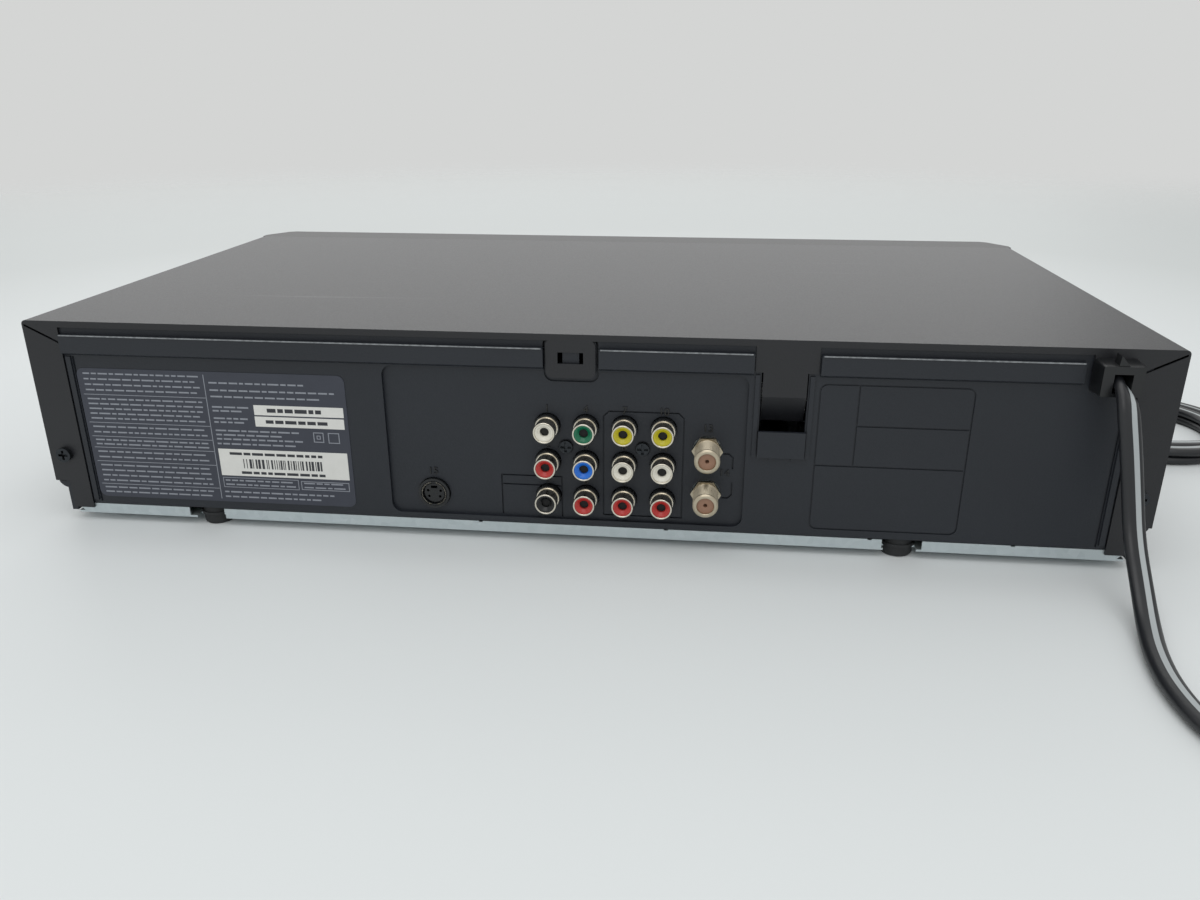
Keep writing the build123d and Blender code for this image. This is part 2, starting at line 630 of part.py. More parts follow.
# Cassette door: a flap on two pins in the bezel, swinging inwards about its top edge.
with BuildPart() as cassette_door:
    block((-195.6, -4.4), (-122.2, -120.2), (40.5, 70.4))
    fillet(edges().filter_by(Axis.X), 0.6)
    for x in ((-198.6, -195.6), (-4.4, -1.4)):
        roller(*DOOR_AXIS, x, 1.2)
cassette_door.part.label = "cassette_door"
export_step(cassette_door.part, "parts/cassette_door.step")

# ---------------------------------------------------------------- cassette deck
with BuildPart() as deck_plate:
    block((-199, -1), (-96, 80), DECK_Z)
    for x in (-190, -10):
        for y in (-90, 70):
            post(x, y, (PAN_TOP, DECK_Z[0]), 4)
    post(*CAPSTAN, (DECK_Z[0] - 1, DECK_Z[1] + 1), 2.2, Mode.SUBTRACT)
    post(*CAPSTAN, (DECK_Z[1] - 0.5, 24), 4)
    post(*CAPSTAN, (DECK_Z[0] - 1, 27), 1.55, Mode.SUBTRACT)
    post(*PINCH_PIVOT, (DECK_Z[1] - 0.5, 36), 2)
    post(*PINCH_PIVOT, (DECK_Z[1] - 0.5, 19.8), 4)
    for side in (-1, 1):
        post(DECK_X + side * REEL_X, REEL_Y, (DECK_Z[1] - 0.5, 30), 1.5)
    # Tape guide posts each side of the drum.
    for x, y in ((-140, 20), (-62, 12), (-150, 48), (-56, 52)):
        post(x, y, (DECK_Z[1] - 0.5, 40), 2.5)
        post(x, y, (22, 23), 4)
        post(x, y, (37, 38), 4)
    # Flanged edges stiffen the plate.
    block((-199, -197.9), (-96, 80), (DECK_Z[1] - 0.5, 13.9))
deck_plate.part.label = "deck_plate"
export_step(deck_plate.part, "parts/deck_plate.step")

RAIL_X = ((-198.6, -197.4), (-2.6, -1.4))
SLIDER_X = ((-197.0, -196.0), (-4.0, -3.0))
with BuildPart() as carriage_rails:
    for x in RAIL_X:
        block(x, (-90, 20), (14.0, 78))
        # The straight slot for the slider's pins.
        block((x[0] - 1, x[1] + 1), (-76, 2), (57.7, 62.3), Mode.SUBTRACT)
        foot = (x[0], x[1] + 4) if x[0] < DECK_X else (x[0] - 4, x[1])
        for y in (-88, 10):
            block(foot, (y, y + 8), (14.0, 15.0))
    block((-198.6, -1.4), (-20, 10), (76.8, 78))
carriage_rails.part.label = "carriage_rails"
export_step(carriage_rails.part, "parts/carriage_rails.step")

with BuildPart() as cassette_slider:
    for x in SLIDER_X:
        block(x, (-80, -40), (28, 75))
        # The upright slots that guide the basket's pins.
        for y in (-74, -50):
            block((x[0] - 1, x[1] + 1), (y, y + 4.4), (34, 58), Mode.SUBTRACT)
    for x in ((-198.4, -196.6), (-3.4, -1.6)):
        for y in (-72, -48):
            roller(y, 60, x, 2)
    block((-197, -3), (-80, -66), (74, 75))
cassette_slider.part.label = "cassette_slider"
export_step(cassette_slider.part, "parts/cassette_slider.step")

BASKET_X = ((-195.7, -194.7), (-5.3, -4.3))
with BuildPart() as cassette_basket:
    for x in BASKET_X:
        block(x, BASKET_Y, BASKET_Z)
    block((-195.7, -178), BASKET_Y, (BASKET_Z[0], BASKET_Z[0] + 1))
    block((-22, -4.3), BASKET_Y, (BASKET_Z[0], BASKET_Z[0] + 1))
    block((-195.7, -4.3), BASKET_Y, (BASKET_Z[1] - 1, BASKET_Z[1]))
    block((-150, -50), (-90, -60), (BASKET_Z[1] - 2, BASKET_Z[1] + 1), Mode.SUBTRACT)
    # Guide pins run in the slider's upright slots.
    for x in ((-196.8, -195.6), (-4.4, -3.2)):
        for y in (-71.8, -47.8):
            roller(y, 55.5, x, 2)
cassette_basket.part.label = "cassette_basket"
export_step(cassette_basket.part, "parts/cassette_basket.step")

# Video drum: the fixed lower half stands on the deck; the upper half carries the heads.
drum_axis = Plane(
    (DRUM[0], DRUM[1], 18.5),
    z_dir=(0, -math.sin(math.radians(DRUM_TILT)), math.cos(math.radians(DRUM_TILT))),
)
with BuildPart() as lower_drum:
    with BuildSketch(drum_axis):
        Circle(DRUM_R)
    extrude(amount=11.5)
    post(*DRUM, (DECK_Z[1], 22), 22)
    with BuildSketch(drum_axis.offset(-8)):
        Circle(2.56)
    extrude(amount=30, mode=Mode.SUBTRACT)
lower_drum.part.label = "lower_drum"
export_step(lower_drum.part, "parts/lower_drum.step")

with BuildPart() as head_drum:
    with BuildSketch(drum_axis.offset(11.9)):
        Circle(DRUM_R)
    extrude(amount=13.6)
    fillet(edges().filter_by(GeomType.CIRCLE).group_by(Axis.Z)[-1], 0.8)
    with BuildSketch(drum_axis.offset(25.5)):
        Circle(12)
        Circle(5, mode=Mode.SUBTRACT)
    extrude(amount=-1.5, mode=Mode.SUBTRACT)
    with BuildSketch(drum_axis.offset(-4)):
        Circle(2.5)
    extrude(amount=20)
    # Two head windows in the lower rim.
    for side in (-1, 1):
        block(
            (DRUM[0] + side * DRUM_R - 1, DRUM[0] + side * DRUM_R + 1),
            (DRUM[1] - 3, DRUM[1] + 3),
            (29.5, 33.5),
            Mode.SUBTRACT,
        )
head_drum.part.label = "head_drum"
export_step(head_drum.part, "parts/head_drum.step")

with BuildPart() as capstan:
    post(*CAPSTAN, (6, 44), 1.5)
    post(*CAPSTAN, (6, 10), 22)
    fillet(edges().filter_by(GeomType.CIRCLE).group_by(Axis.Z)[0], 0.6)
capstan.part.label = "capstan"
export_step(capstan.part, "parts/capstan.step")

# Pinch arm: swings on its post and carries the rubber pinch roller.
ROLLER_Z = (25.0, 41.0)
with BuildPart() as pinch_arm:
    with BuildSketch(flat(20)):
        with Locations(PINCH_PIVOT):
            Circle(4.6)
        with Locations(PINCH_ROLLER):
            Circle(3.4)
        make_hull()
    extrude(amount=2)
    post(*PINCH_PIVOT, (21, 34), 4.2)
    post(*PINCH_PIVOT, (19, 35), 2.05, Mode.SUBTRACT)
    post(*PINCH_ROLLER, (21, 42.5), 1.5)
pinch_arm.part.label = "pinch_arm"
export_step(pinch_arm.part, "parts/pinch_arm.step")

with BuildPart() as pinch_roller:
    post(*PINCH_ROLLER, ROLLER_Z, 6)
    post(*PINCH_ROLLER, (ROLLER_Z[0] - 1, ROLLER_Z[1] + 1), 1.55, Mode.SUBTRACT)
pinch_roller.part.label = "pinch_roller"
export_step(pinch_roller.part, "parts/pinch_roller.step")

# Reel tables: a broad base with a three-finned spindle that drives the cassette's hub.
for name, side in (("supply_reel", -1), ("takeup_reel", 1)):
    with BuildPart() as reel:
        centre = (DECK_X + side * REEL_X, REEL_Y)
        post(*centre, (14.2, 18), 18)
        post(*centre, (18, 31), 7.2)
        post(*centre, (31, 33), 4)
        for k in range(3):
            with Locations(Location((*centre, 24.5), (0, 0, 120 * k))):
                with Locations((7.2, 0, 0)):
                    Box(3, 1.6, 13)
        post(*centre, (14, 30.5), 1.55, Mode.SUBTRACT)
    reel.part.label = name
    export_step(reel.part, f"parts/{name}.step")

# ---------------------------------------------------------------- disc deck
LOADER_LEGS = ((40.0, -90.0), (184.0, -90.0), (40.0, 58.0), (184.0, 58.0))
with BuildPart() as loader_frame:
    block((36, 188), (-100, 62), (40, 42))
    block((62, 162), (-76, 50), (39, 43), Mode.SUBTRACT)
    for outer, inner in ((36.0, 38.4), (188.0, 185.6)):
        ledge = 44.4 if outer < DISC_X else 179.6
        block(sorted((outer, inner)), (-100, 62), (42, 66))
        # The grooves that guide the tray's edges.
        block(sorted((inner, ledge)), (-94, 62), (58.2, 60.0))
        block(sorted((inner, ledge)), (-94, 62), (62.4, 64.0))
    block((36, 188), (60, 62), (42, 66))
    for x, y in LOADER_LEGS:
        block((x - 3.5, x + 3.5), (y - 3.5, y + 3.5), (PAN_TOP, 40))
    # The pinion's post stands on the floor, beside the hole for the motor's shaft.
    post(*PINION, (42.1, 64.5), 10.2, Mode.SUBTRACT)
    post(*PINION, (41.5, 48.2), 3.5)
    post(*PINION, (48, 56.9), 2)
    post(*MOTOR, (39, 43), 2.2, Mode.SUBTRACT)
    # Two hooks take the traverse's hinge pins.
    for x in ((59.0, 62.5), (161.5, 165.0)):
        block(x, (38, 46), (41.5, 48.4))
    roller(*TRAVERSE_AXIS, (58, 166), 1.55, Mode.SUBTRACT)
loader_frame.part.label = "loader_frame"
export_step(loader_frame.part, "parts/loader_frame.step")

RACK_PITCH_X = PINION[0] + GEAR_MODULE * PINION_TEETH / 2
PITCH = math.pi * GEAR_MODULE
RACK_Y = (-108.0, 45.0)
with BuildPart() as dvd_tray:
    block((46, 178), TRAY_Y, TRAY_Z)
    block((39.4, 184.6), (-92, TRAY_Y[1]), (60.3, TRAY_Z[1]))
    fillet(edges().filter_by(Axis.Z).group_by(Axis.Y)[-1], 3)
    post(DISC_X, DISC_Y, (59.8, 63), 60.5, Mode.SUBTRACT)
    post(DISC_X, DISC_Y, (58.8, 63), 40.6, Mode.SUBTRACT)
    block((90, 134), (-50, TRAY_Y[1] + 1), (56, 63), Mode.SUBTRACT)
    post(DISC_X, DISC_Y, (56, 63), 22, Mode.SUBTRACT)
    # Finger notches at the front of the disc's seat.
    for x in (DISC_X - 58, DISC_X + 58):
        post(x, -88, (59.8, 63), 9, Mode.SUBTRACT)
    # Rack under the left side: its teeth point at the pinion.
    block((RACK_PITCH_X + 1.15, 62), RACK_Y, (53.2, TRAY_Z[0] + 0.5))
    with BuildSketch(flat(53.2)):
        first = PINION[1] + PITCH / 2 - 3 * PITCH
        for k in range(47):
            y = first + PITCH * k
            half, flank = PITCH / 4 - 0.1, math.tan(math.radians(20))
            with BuildLine():
                Polyline(
                    (RACK_PITCH_X + 1.3, y - half - 1.3 * flank),
                    (RACK_PITCH_X - 0.85, y - half + 0.85 * flank),
                    (RACK_PITCH_X - 0.85, y + half - 0.85 * flank),
                    (RACK_PITCH_X + 1.3, y + half + 1.3 * flank),
                    close=True,
                )
            make_face()
    extrude(amount=TRAY_Z[0] + 0.5 - 53.2)
dvd_tray.part.label = "dvd_tray"
export_step(dvd_tray.part, "parts/dvd_tray.step")

with BuildPart() as tray_fascia:
    block((39, 185), (-122.6, TRAY_Y[0]), (52.6, 69.4))
    fillet(faces().sort_by(Axis.Y)[0].edges(), 0.6)
    block((42, 182), (-120.6, TRAY_Y[0] + 1), (63, 67.5), Mode.SUBTRACT)
tray_fascia.part.label = "tray_fascia"
export_step(tray_fascia.part, "parts/tray_fascia.step")

# Pinion: involute teeth above a grooved pulley, turning on the loader's post.
BASE_R = GEAR_MODULE * PINION_TEETH / 2 * math.cos(math.radians(20))
PITCH_R = GEAR_MODULE * PINION_TEETH / 2


def involute(radius):
    """The angle by which an involute flank has turned at the given radius."""
    pressure = math.acos(min(1.0, BASE_R / radius))
    return math.tan(pressure) - pressure


with BuildPart() as tray_pinion:
    post(*PINION, (48.4, 56.8), 6.6)
    post(*PINION, (52.5, 53.0), 9.4)
    with BuildSketch(flat(53.3)):
        for k in range(PINION_TEETH):
            middle = 2 * math.pi * k / PINION_TEETH
            flank = []
            for radius in (6.4, BASE_R + 0.02, PITCH_R, 8.45, 8.8):
                half = math.pi / (2 * PINION_TEETH) - 0.012 + involute(PITCH_R)
                half -= involute(max(radius, BASE_R))
                flank.append((radius, half))
            outline = [(r, middle - h) for r, h in flank] + [(r, middle + h) for r, h in flank[::-1]]
            with BuildLine():
                Polyline(
                    *[(PINION[0] + r * math.cos(a), PINION[1] + r * math.sin(a)) for r, a in outline],
                    close=True,
                )
            make_face()
    extrude(amount=3.5)
    # Belt groove, and the bore for the post.
    with BuildSketch(flat(50)):
        with Locations(PINION):
            Circle(8)
            Circle(5.6, mode=Mode.SUBTRACT)
    extrude(amount=1.6, mode=Mode.SUBTRACT)
    post(*PINION, (48, 57), 2.05, Mode.SUBTRACT)
tray_pinion.part.label = "tray_pinion"
export_step(tray_pinion.part, "parts/tray_pinion.step")

with BuildPart() as tray_motor:
    post(*MOTOR, (19.5, 39.8), 11)
    fillet(edges().filter_by(GeomType.CIRCLE).group_by(Axis.Z)[0], 1.0)
    post(*MOTOR, (39, 52.4), 1)
    post(*MOTOR, (49, 49.8), 3.6)
    post(*MOTOR, (49.8, 51.8), PULLEY_R)
    post(*MOTOR, (51.8, 52.4), 3.6)
tray_motor.part.label = "tray_motor"
export_step(tray_motor.part, "parts/tray_motor.step")

# Belt: a square rubber band round the motor's pulley and the pinion's groove.
with BuildPart() as tray_belt:
    with BuildSketch(flat(50.1)):
        hub_r = 5.65
        pull_r = PULLEY_R + 0.05
        for grow, mode in ((1.2, Mode.ADD), (0.0, Mode.SUBTRACT)):
            along = math.atan2(MOTOR[1] - PINION[1], MOTOR[0] - PINION[0])
            reach = math.hypot(MOTOR[1] - PINION[1], MOTOR[0] - PINION[0])
            lean = math.acos((hub_r - pull_r) / reach)
            points = []
            for centre, radius in ((PINION, hub_r + grow), (MOTOR, pull_r + grow)):
                for turn in (lean, -lean):
                    points.append(
                        (
                            centre[0] + radius * math.cos(along + turn),
                            centre[1] + radius * math.sin(along + turn),
                        )
                    )
            with BuildLine():
                Polyline(points[0], points[2], points[3], points[1], close=True)
            make_face(mode=mode)
            with Locations(PINION):
                Circle(hub_r + grow, mode=mode)
            with Locations(MOTOR):
                Circle(pull_r + grow, mode=mode)
    extrude(amount=1.2)
tray_belt.part.label = "tray_belt"
export_step(tray_belt.part, "parts/tray_belt.step")

# Traverse: the plate that tilts on two pins and carries the disc motor, rod, screw and pickup.
with BuildPart() as traverse_frame:
    block((66, 158), (-72, 44), (43.6, 46.6))
    block((92, 132), (-33, 38), (43, 47), Mode.SUBTRACT)
    roller(*TRAVERSE_AXIS, (59.4, 66.5), 1.5)
    roller(*TRAVERSE_AXIS, (157.5, 164.6), 1.5)
    post(DISC_X, DISC_Y, (46, 52.4), 13)
    post(DISC_X, DISC_Y, (43, 53), 1.05, Mode.SUBTRACT)
    # Bearing blocks for the guide rod and the lead screw.
    for y in ((-39.5, -35.5), (38.5, 42.5)):
        block((ROD_X - 4, ROD_X + 4), y, (46, 54))
        block((SCREW_X - 4, SCREW_X + 4), y, (46, 54))
    barrel(ROD_X, ROD_Z, (-38, 41), 1.5)
    barrel(SCREW_X, ROD_Z, (-40, 43), 1.55, Mode.SUBTRACT)
    block((SCREW_X - 6, SCREW_X + 6), (-66, -56), (46, 47))
traverse_frame.part.label = "traverse_frame"
export_step(traverse_frame.part, "parts/traverse_frame.step")

with BuildPart() as lead_screw:
    barrel(SCREW_X, ROD_Z, (-45.4, 42.4), 1.5)
    barrel(SCREW_X, ROD_Z, (-48.5, -45.4), 3.4)
    # Rings stand for the thread's turns.
    for k in range(17):
        barrel(SCREW_X, ROD_Z, (-34 + 4.2 * k, -32.6 + 4.2 * k), 2.0)
lead_screw.part.label = "lead_screw"
export_step(lead_screw.part, "parts/lead_screw.step")

with BuildPart() as disc_turntable:
    post(DISC_X, DISC_Y, (56.6, 60.4), 14)
    with BuildSketch(flat(60.4)):
        with Locations((DISC_X, DISC_Y)):
            Circle(7.4)
    extrude(amount=3.0, taper=18)
    post(DISC_X, DISC_Y, (45, 57), 1)
    post(DISC_X, DISC_Y, (52.7, 57), 9)
disc_turntable.part.label = "disc_turntable"
export_step(disc_turntable.part, "parts/disc_turntable.step")

with BuildPart() as pickup:
    block((97, 127), (-31, -5), (47.2, 57.4))
    fillet(edges().filter_by(Axis.Z), 2)
    post(DISC_X, -18, (57, 58.6), 4.2)
    post(DISC_X, -18, (58.1, 59), 2.6, Mode.SUBTRACT)
    for y in ((-31, -25), (-11, -5)):
        block((126, ROD_X + 3.2), y, (48.2, 53.2))
    barrel(ROD_X, ROD_Z, (-40, 10), 1.55, Mode.SUBTRACT)
    block((SCREW_X + 2.3, 98), (-20, -14), (48.2, 53.2))
pickup.part.label = "pickup"
export_step(pickup.part, "parts/pickup.step")

with BuildPart() as clamp_bridge:
    block((36, 188), (-62, -38), (66, 67.2))
    post(DISC_X, DISC_Y, (65, 69), 14.6, Mode.SUBTRACT)
    block((36, 38), (-62, -38), (67, 69))
    block((186, 188), (-62, -38), (67, 69))
clamp_bridge.part.label = "clamp_bridge"
export_step(clamp_bridge.part, "parts/clamp_bridge.step")

with BuildPart() as disc_clamp:
    post(DISC_X, DISC_Y, (64.4, 67.5), 12.0)
    post(DISC_X, DISC_Y, (67.35, 69.4), 13.4)
    post(DISC_X, DISC_Y, (67.35, 68.6), 17)
    post(DISC_X, DISC_Y, (64, 65.6), 7.8, Mode.SUBTRACT)
disc_clamp.part.label = "disc_clamp"
export_step(disc_clamp.part, "parts/disc_clamp.step")

# ---------------------------------------------------------------- boards
with BuildPart() as main_board:
    block((5, 200), (-95, 105), (9, 10.6))
    block((-66, 6), (84, 105), (9, 10.6))
    for x, y in LOADER_LEGS:
        block((x - 4.5, x + 4.5), (y - 4.5, y + 4.5), (8, 11), Mode.SUBTRACT)
    # The largest parts on the board: chips, capacitors and connectors.
    block((90, 118), (-20, 8), (10.6, 12.6))
    block((150, 164), (-60, -40), (10.6, 12.4))
    block((60, 78), (40, 60), (10.6, 12.4))
    for k in range(5):
        post(175, -30 + 14 * k, (10.6, 22), 4)
    for k in range(3):
        block((20, 32), (-60 + 40 * k, -36 + 40 * k), (10.6, 18))
main_board.part.label = "main_board"
export_step(main_board.part, "parts/main_board.step")

# Power supply: board, transformer (a separate solid on it), heat sink and the large capacitor.
with BuildPart() as power_board:
    block((-197, -75), (84, 108.5), (10, 11.6))
    post(-168, 96, (11.6, 36), 10)
    block((-98, -95), (86, 106), (11.6, 40))
    block((-190, -180), (88, 104), (11.6, 22))
    block((-150, -112), (87, 106), (11.7, 14))
    block((-146, -116), (88, 105), (14, 36))
    block((-138, -124), (86, 107), (16, 34))
power_board.part.label = "power_board"
export_step(power_board.part, "parts/power_board.step")

# ---------------------------------------------------------------- mains cord
# Bushing: rubber strain relief clipped into the panel, with a flared foot and a ridge on top.
with BuildPart() as cord_bushing:
    block((-196.4, -186.0), (106, 114), (70.7, 80.5))
    block((-197.6, -184.8), (104.5, 108.8), (69.9, 81.3))
    with BuildSketch(facing(113.1)):
        with Locations((CORD_EXIT[0], 75.4)):
            RectangleRounded(15.0, 12.2, 1.4)
    extrude(amount=-8.0, taper=5)
    # A roof-shaped ridge stands on its top, towards the room.
    with BuildSketch(facing(116.2)):
        with Locations((CORD_EXIT[0], 80.3)):
            Triangle(c=5.6, b=4.2, a=4.2, align=(Align.CENTER, Align.MIN))
    extrude(amount=-4.4)
    block((CORD_EXIT[0] - 3.1, CORD_EXIT[0] + 3.1), (110, 123), (71.2, 78.0), Mode.SUBTRACT)
cord_bushing.part.label = "cord_bushing"
export_step(cord_bushing.part, "parts/cord_bushing.step")

# Route of the cord: out of the bushing, straight down to the surface, a wide bend to the side and
# back along the case to the coil. The points are placed by hand.
ROUTE = [
    (-191.2, 110.0, 74.6),
    (-191.2, 124.5, 74.6),
    (-194.2, 128.4, 57.4),
    (-197.1, 131.3, 39.5),
    (-198.7, 136.2, 23.6),
    (-199.2, 147.0, 11.6),
    (-197.4, 160.0, 4.6),
    (-193.6, 176.0, 2.9),
    (-191.0, 195.0, 2.9),
    (-193.0, 216.0, 2.9),
    (-205.0, 237.5, 2.9),
    (-228.5, 251.0, 2.9),
    (-256.0, 249.0, 2.9),
    (-279.0, 231.0, 2.9),
    (-292.5, 204.0, 2.9),
    (-298.5, 173.0, 2.9),
    (-302.0, 139.0, 2.9),
    (-305.5, 106.0, 2.9),
    (-310.0, 72.0, 2.9),
    (-313.2, 38.0, 2.9),
    (-313.9, 4.0, 2.9),
    (-313.5, -22.0, 2.9),
]
radii = []
for before, point, after in zip(ROUTE, ROUTE[1:], ROUTE[2:]):
    run_in = Vector(*point) - Vector(*before)
    run_out = Vector(*after) - Vector(*point)
    half_turn = math.radians(run_in.get_angle(run_out)) / 2
    radii.append(0.45 * min(run_in.length, run_out.length) / math.tan(half_turn))
print("cord bend radii:", [round(radius, 1) for radius in radii])
with BuildPart() as power_cord:
    with BuildLine() as cord_path:
        FilletPolyline(*ROUTE, radius=radii)
    with BuildSketch(Plane(ROUTE[0], z_dir=(0, 1, 0))):
        Circle(CORD_R)
    sweep(path=cord_path.wires()[0])
tube_length = cord_path.wires()[0].length
tube_volume = math.pi * CORD_R**2 * tube_length
print("cord tube length", round(tube_length), "volume ratio", power_cord.part.volume / tube_volume)
print("coiled length", round(CORD_LENGTH - tube_length))
power_cord.part.label = "power_cord"
export_step(power_cord.part, "parts/power_cord.step")

# Coil: the neat ring that the rest of the cord is wound into, as one closed solid.
with BuildPart() as cord_coil:
    post(*COIL_CENTRE, (0, COIL_BUNDLE[1]), COIL_MEAN_R + COIL_BUNDLE[0] / 2)
    post(*COIL_CENTRE, (-1, COIL_BUNDLE[1] + 1), COIL_MEAN_R - COIL_BUNDLE[0] / 2, Mode.SUBTRACT)
    fillet(edges().filter_by(GeomType.CIRCLE), 2.0)
cord_coil.part.label = "cord_coil"
export_step(cord_coil.part, "parts/cord_coil.step")

# Plug: two flat blades in a moulded body. Its relief takes the cord off the coil's outer turn and
# leans outwards, so that the body clears the turns. Its own x runs from the cord to the blades.
PLUG_TURN = 262.0
PLUG_LEAN = 18.0
PLUG_TAIL_R = COIL_MEAN_R + 5.0
tail = math.radians(PLUG_TURN)
heading = tail + math.radians(90 - PLUG_LEAN)
plug_plane = Plane(
    (
        COIL_CENTRE[0] + PLUG_TAIL_R * math.cos(tail),
        COIL_CENTRE[1] + PLUG_TAIL_R * math.sin(tail),
        0,
    ),
    x_dir=(math.cos(heading), math.sin(heading), 0),
    z_dir=(0, 0, 1),
)
RELIEF_END = 23.0
BODY_END = 44.0
with BuildPart() as plug_shape:
    block((RELIEF_END, BODY_END), (-9.5, 9.5), (0, 13))
    fillet(edges().filter_by(Axis.X), 3)
    with BuildSketch(Plane((RELIEF_END + 0.5, 0, 6.5), x_dir=(0, 1, 0), z_dir=(-1, 0, 0))):
        RectangleRounded(12, 10, 2.5)
    extrude(amount=RELIEF_END, taper=5)
    for side in (-1, 1):
        block((BODY_END - 1, BODY_END + 16.5), (side * 6.35 - 0.75, side * 6.35 + 0.75), (3.4, 9.6))
with BuildPart() as power_plug:
    add(plug_plane.location * plug_shape.part)
power_plug.part.label = "power_plug"
export_step(power_plug.part, "parts/power_plug.step")
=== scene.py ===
"""Dressed model of a combination disc player and cassette recorder, seen from its rear corner."""

import math
import random

import bmesh
import bpy
from mathutils import Matrix, Vector


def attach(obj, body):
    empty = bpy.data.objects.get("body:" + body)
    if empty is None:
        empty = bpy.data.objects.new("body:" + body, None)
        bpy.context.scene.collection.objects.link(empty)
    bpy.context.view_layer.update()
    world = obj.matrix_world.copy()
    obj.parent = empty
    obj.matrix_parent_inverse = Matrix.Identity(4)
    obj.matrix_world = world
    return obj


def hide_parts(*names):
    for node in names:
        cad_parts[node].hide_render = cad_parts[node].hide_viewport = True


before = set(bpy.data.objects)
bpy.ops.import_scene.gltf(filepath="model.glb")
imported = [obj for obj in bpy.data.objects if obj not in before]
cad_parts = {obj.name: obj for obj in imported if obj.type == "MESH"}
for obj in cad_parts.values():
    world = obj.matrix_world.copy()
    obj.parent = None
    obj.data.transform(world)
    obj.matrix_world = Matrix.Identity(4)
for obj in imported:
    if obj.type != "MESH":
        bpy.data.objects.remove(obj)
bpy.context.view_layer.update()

# ---------------------------------------------------------------- camera, table and light
# The player stands on a pale seamless sheet under soft boxes. The camera looks down on its rear
# corner, where the photographer stood.
CAMERA_PLACE = (-0.04910, 0.45072, 0.17156)
CAMERA_TURN = (68.875, 0.0983, -173.6482)
CAMERA_LENS = 28.727


def linear(hexa):
    """An sRGB hex colour as linear RGB with full opacity."""
    parts = [int(hexa[k : k + 2], 16) / 255 for k in (1, 3, 5)]
    parts = [c / 12.92 if c <= 0.04045 else ((c + 0.055) / 1.055) ** 2.4 for c in parts]
    return (*parts, 1.0)


def add(tree, kind, links=(), **settings):
    """A node of one kind: settings name its attributes or its input sockets, links join sockets."""
    node = tree.nodes.new(kind)
    for name in [name for name in settings if hasattr(node, name)]:
        setattr(node, name, settings.pop(name))
    for name, value in settings.items():
        node.inputs[name.replace("_", " ")].default_value = value
    for socket, source in links:
        tree.links.new(source, node.inputs[socket])
    return node


def new_material(name):
    """An empty material with its node tree and its shader joined to the output."""
    material = bpy.data.materials.new(name)
    material.use_nodes = True
    tree = material.node_tree
    shader = tree.nodes["Principled BSDF"]
    return material, tree, shader


camera = bpy.data.objects.new("camera", bpy.data.cameras.new("camera"))
camera.data.lens = CAMERA_LENS
camera.data.sensor_width = 36
camera.data.clip_start = 0.01
camera.location = CAMERA_PLACE
camera.rotation_euler = [math.radians(a) for a in CAMERA_TURN]
bpy.context.scene.collection.objects.link(camera)
bpy.context.scene.camera = camera

# Vinyl sheet: matte and pale blue-grey, with painted shade: it greys from about 0.42 to 0.75 m out from
# the middle, in place of the lamps' falloff.
# It fades out into the background before it reaches the front lamp.
sheet_vinyl, tree, shader = new_material("sheet_vinyl_matte")
place = add(tree, "ShaderNodeTexCoord")
span = add(tree, "ShaderNodeVectorMath", [(0, place.outputs["Object"])], operation="LENGTH")
painted_falloff = add(tree, "ShaderNodeMapRange", [("Value", span.outputs["Value"])])
painted_falloff.inputs["From Min"].default_value = 0.42
painted_falloff.inputs["From Max"].default_value = 0.75
tint = add(tree, "ShaderNodeMix", [("Factor", painted_falloff.outputs[0])], data_type="RGBA")
tint.inputs["A"].default_value = linear("#dadedf")
tint.inputs["B"].default_value = linear("#ccd0d0")
tree.links.new(tint.outputs["Result"], shader.inputs["Base Color"])
fade = add(tree, "ShaderNodeMapRange", [("Value", span.outputs["Value"])], interpolation_type="SMOOTHSTEP")
for name, value in (("From Min", 0.9), ("From Max", 1.9), ("To Min", 1.0), ("To Max", 0.0)):
    fade.inputs[name].default_value = value
tree.links.new(fade.outputs[0], shader.inputs["Alpha"])
shader.inputs["Roughness"].default_value = 0.55
shader.inputs["Specular IOR Level"].default_value = 0.3
bm = bmesh.new()
bmesh.ops.create_grid(bm, x_segments=1, y_segments=1, size=2.0)
floor_mesh = bpy.data.meshes.new("floor")
bm.to_mesh(floor_mesh)
bm.free()
floor = bpy.data.objects.new("floor", floor_mesh)
floor_mesh.materials.append(sheet_vinyl)
bpy.context.scene.collection.objects.link(floor)

world = bpy.data.worlds.new("studio")
bpy.context.scene.world = world
world.use_nodes = True
world.node_tree.nodes["Background"].inputs["Color"].default_value = linear("#d4d5d4")
world.node_tree.nodes["Background"].inputs["Strength"].default_value = 1.0
bpy.context.scene.view_settings.view_transform = "Standard"

SOFT_BOXES = (
    # name, place, aims at, width, height, watts
    ("top_box", (0.0, 0.35, 1.6), (0.0, 0.25, 0.0), 1.6, 1.6, 9.0),
    ("rear_box", (0.1, 1.7, 1.1), (0.0, 0.1, 0.04), 1.6, 0.9, 6.0),
    ("front_box", (0.35, -1.9, 0.85), (0.0, -0.1, 0.04), 3.0, 1.3, 10.0),
)
for name, place, aim, width, height, watts in SOFT_BOXES:
    lamp = bpy.data.lights.new(name, "AREA")
    lamp.shape = "RECTANGLE"
    lamp.size = width
    lamp.size_y = height
    lamp.energy = watts
    box = bpy.data.objects.new(name, lamp)
    box.location = place
    box.rotation_euler = (Vector(aim) - Vector(place)).to_track_quat("-Z", "Y").to_euler()
    box.visible_camera = False
    bpy.context.scene.collection.objects.link(box)

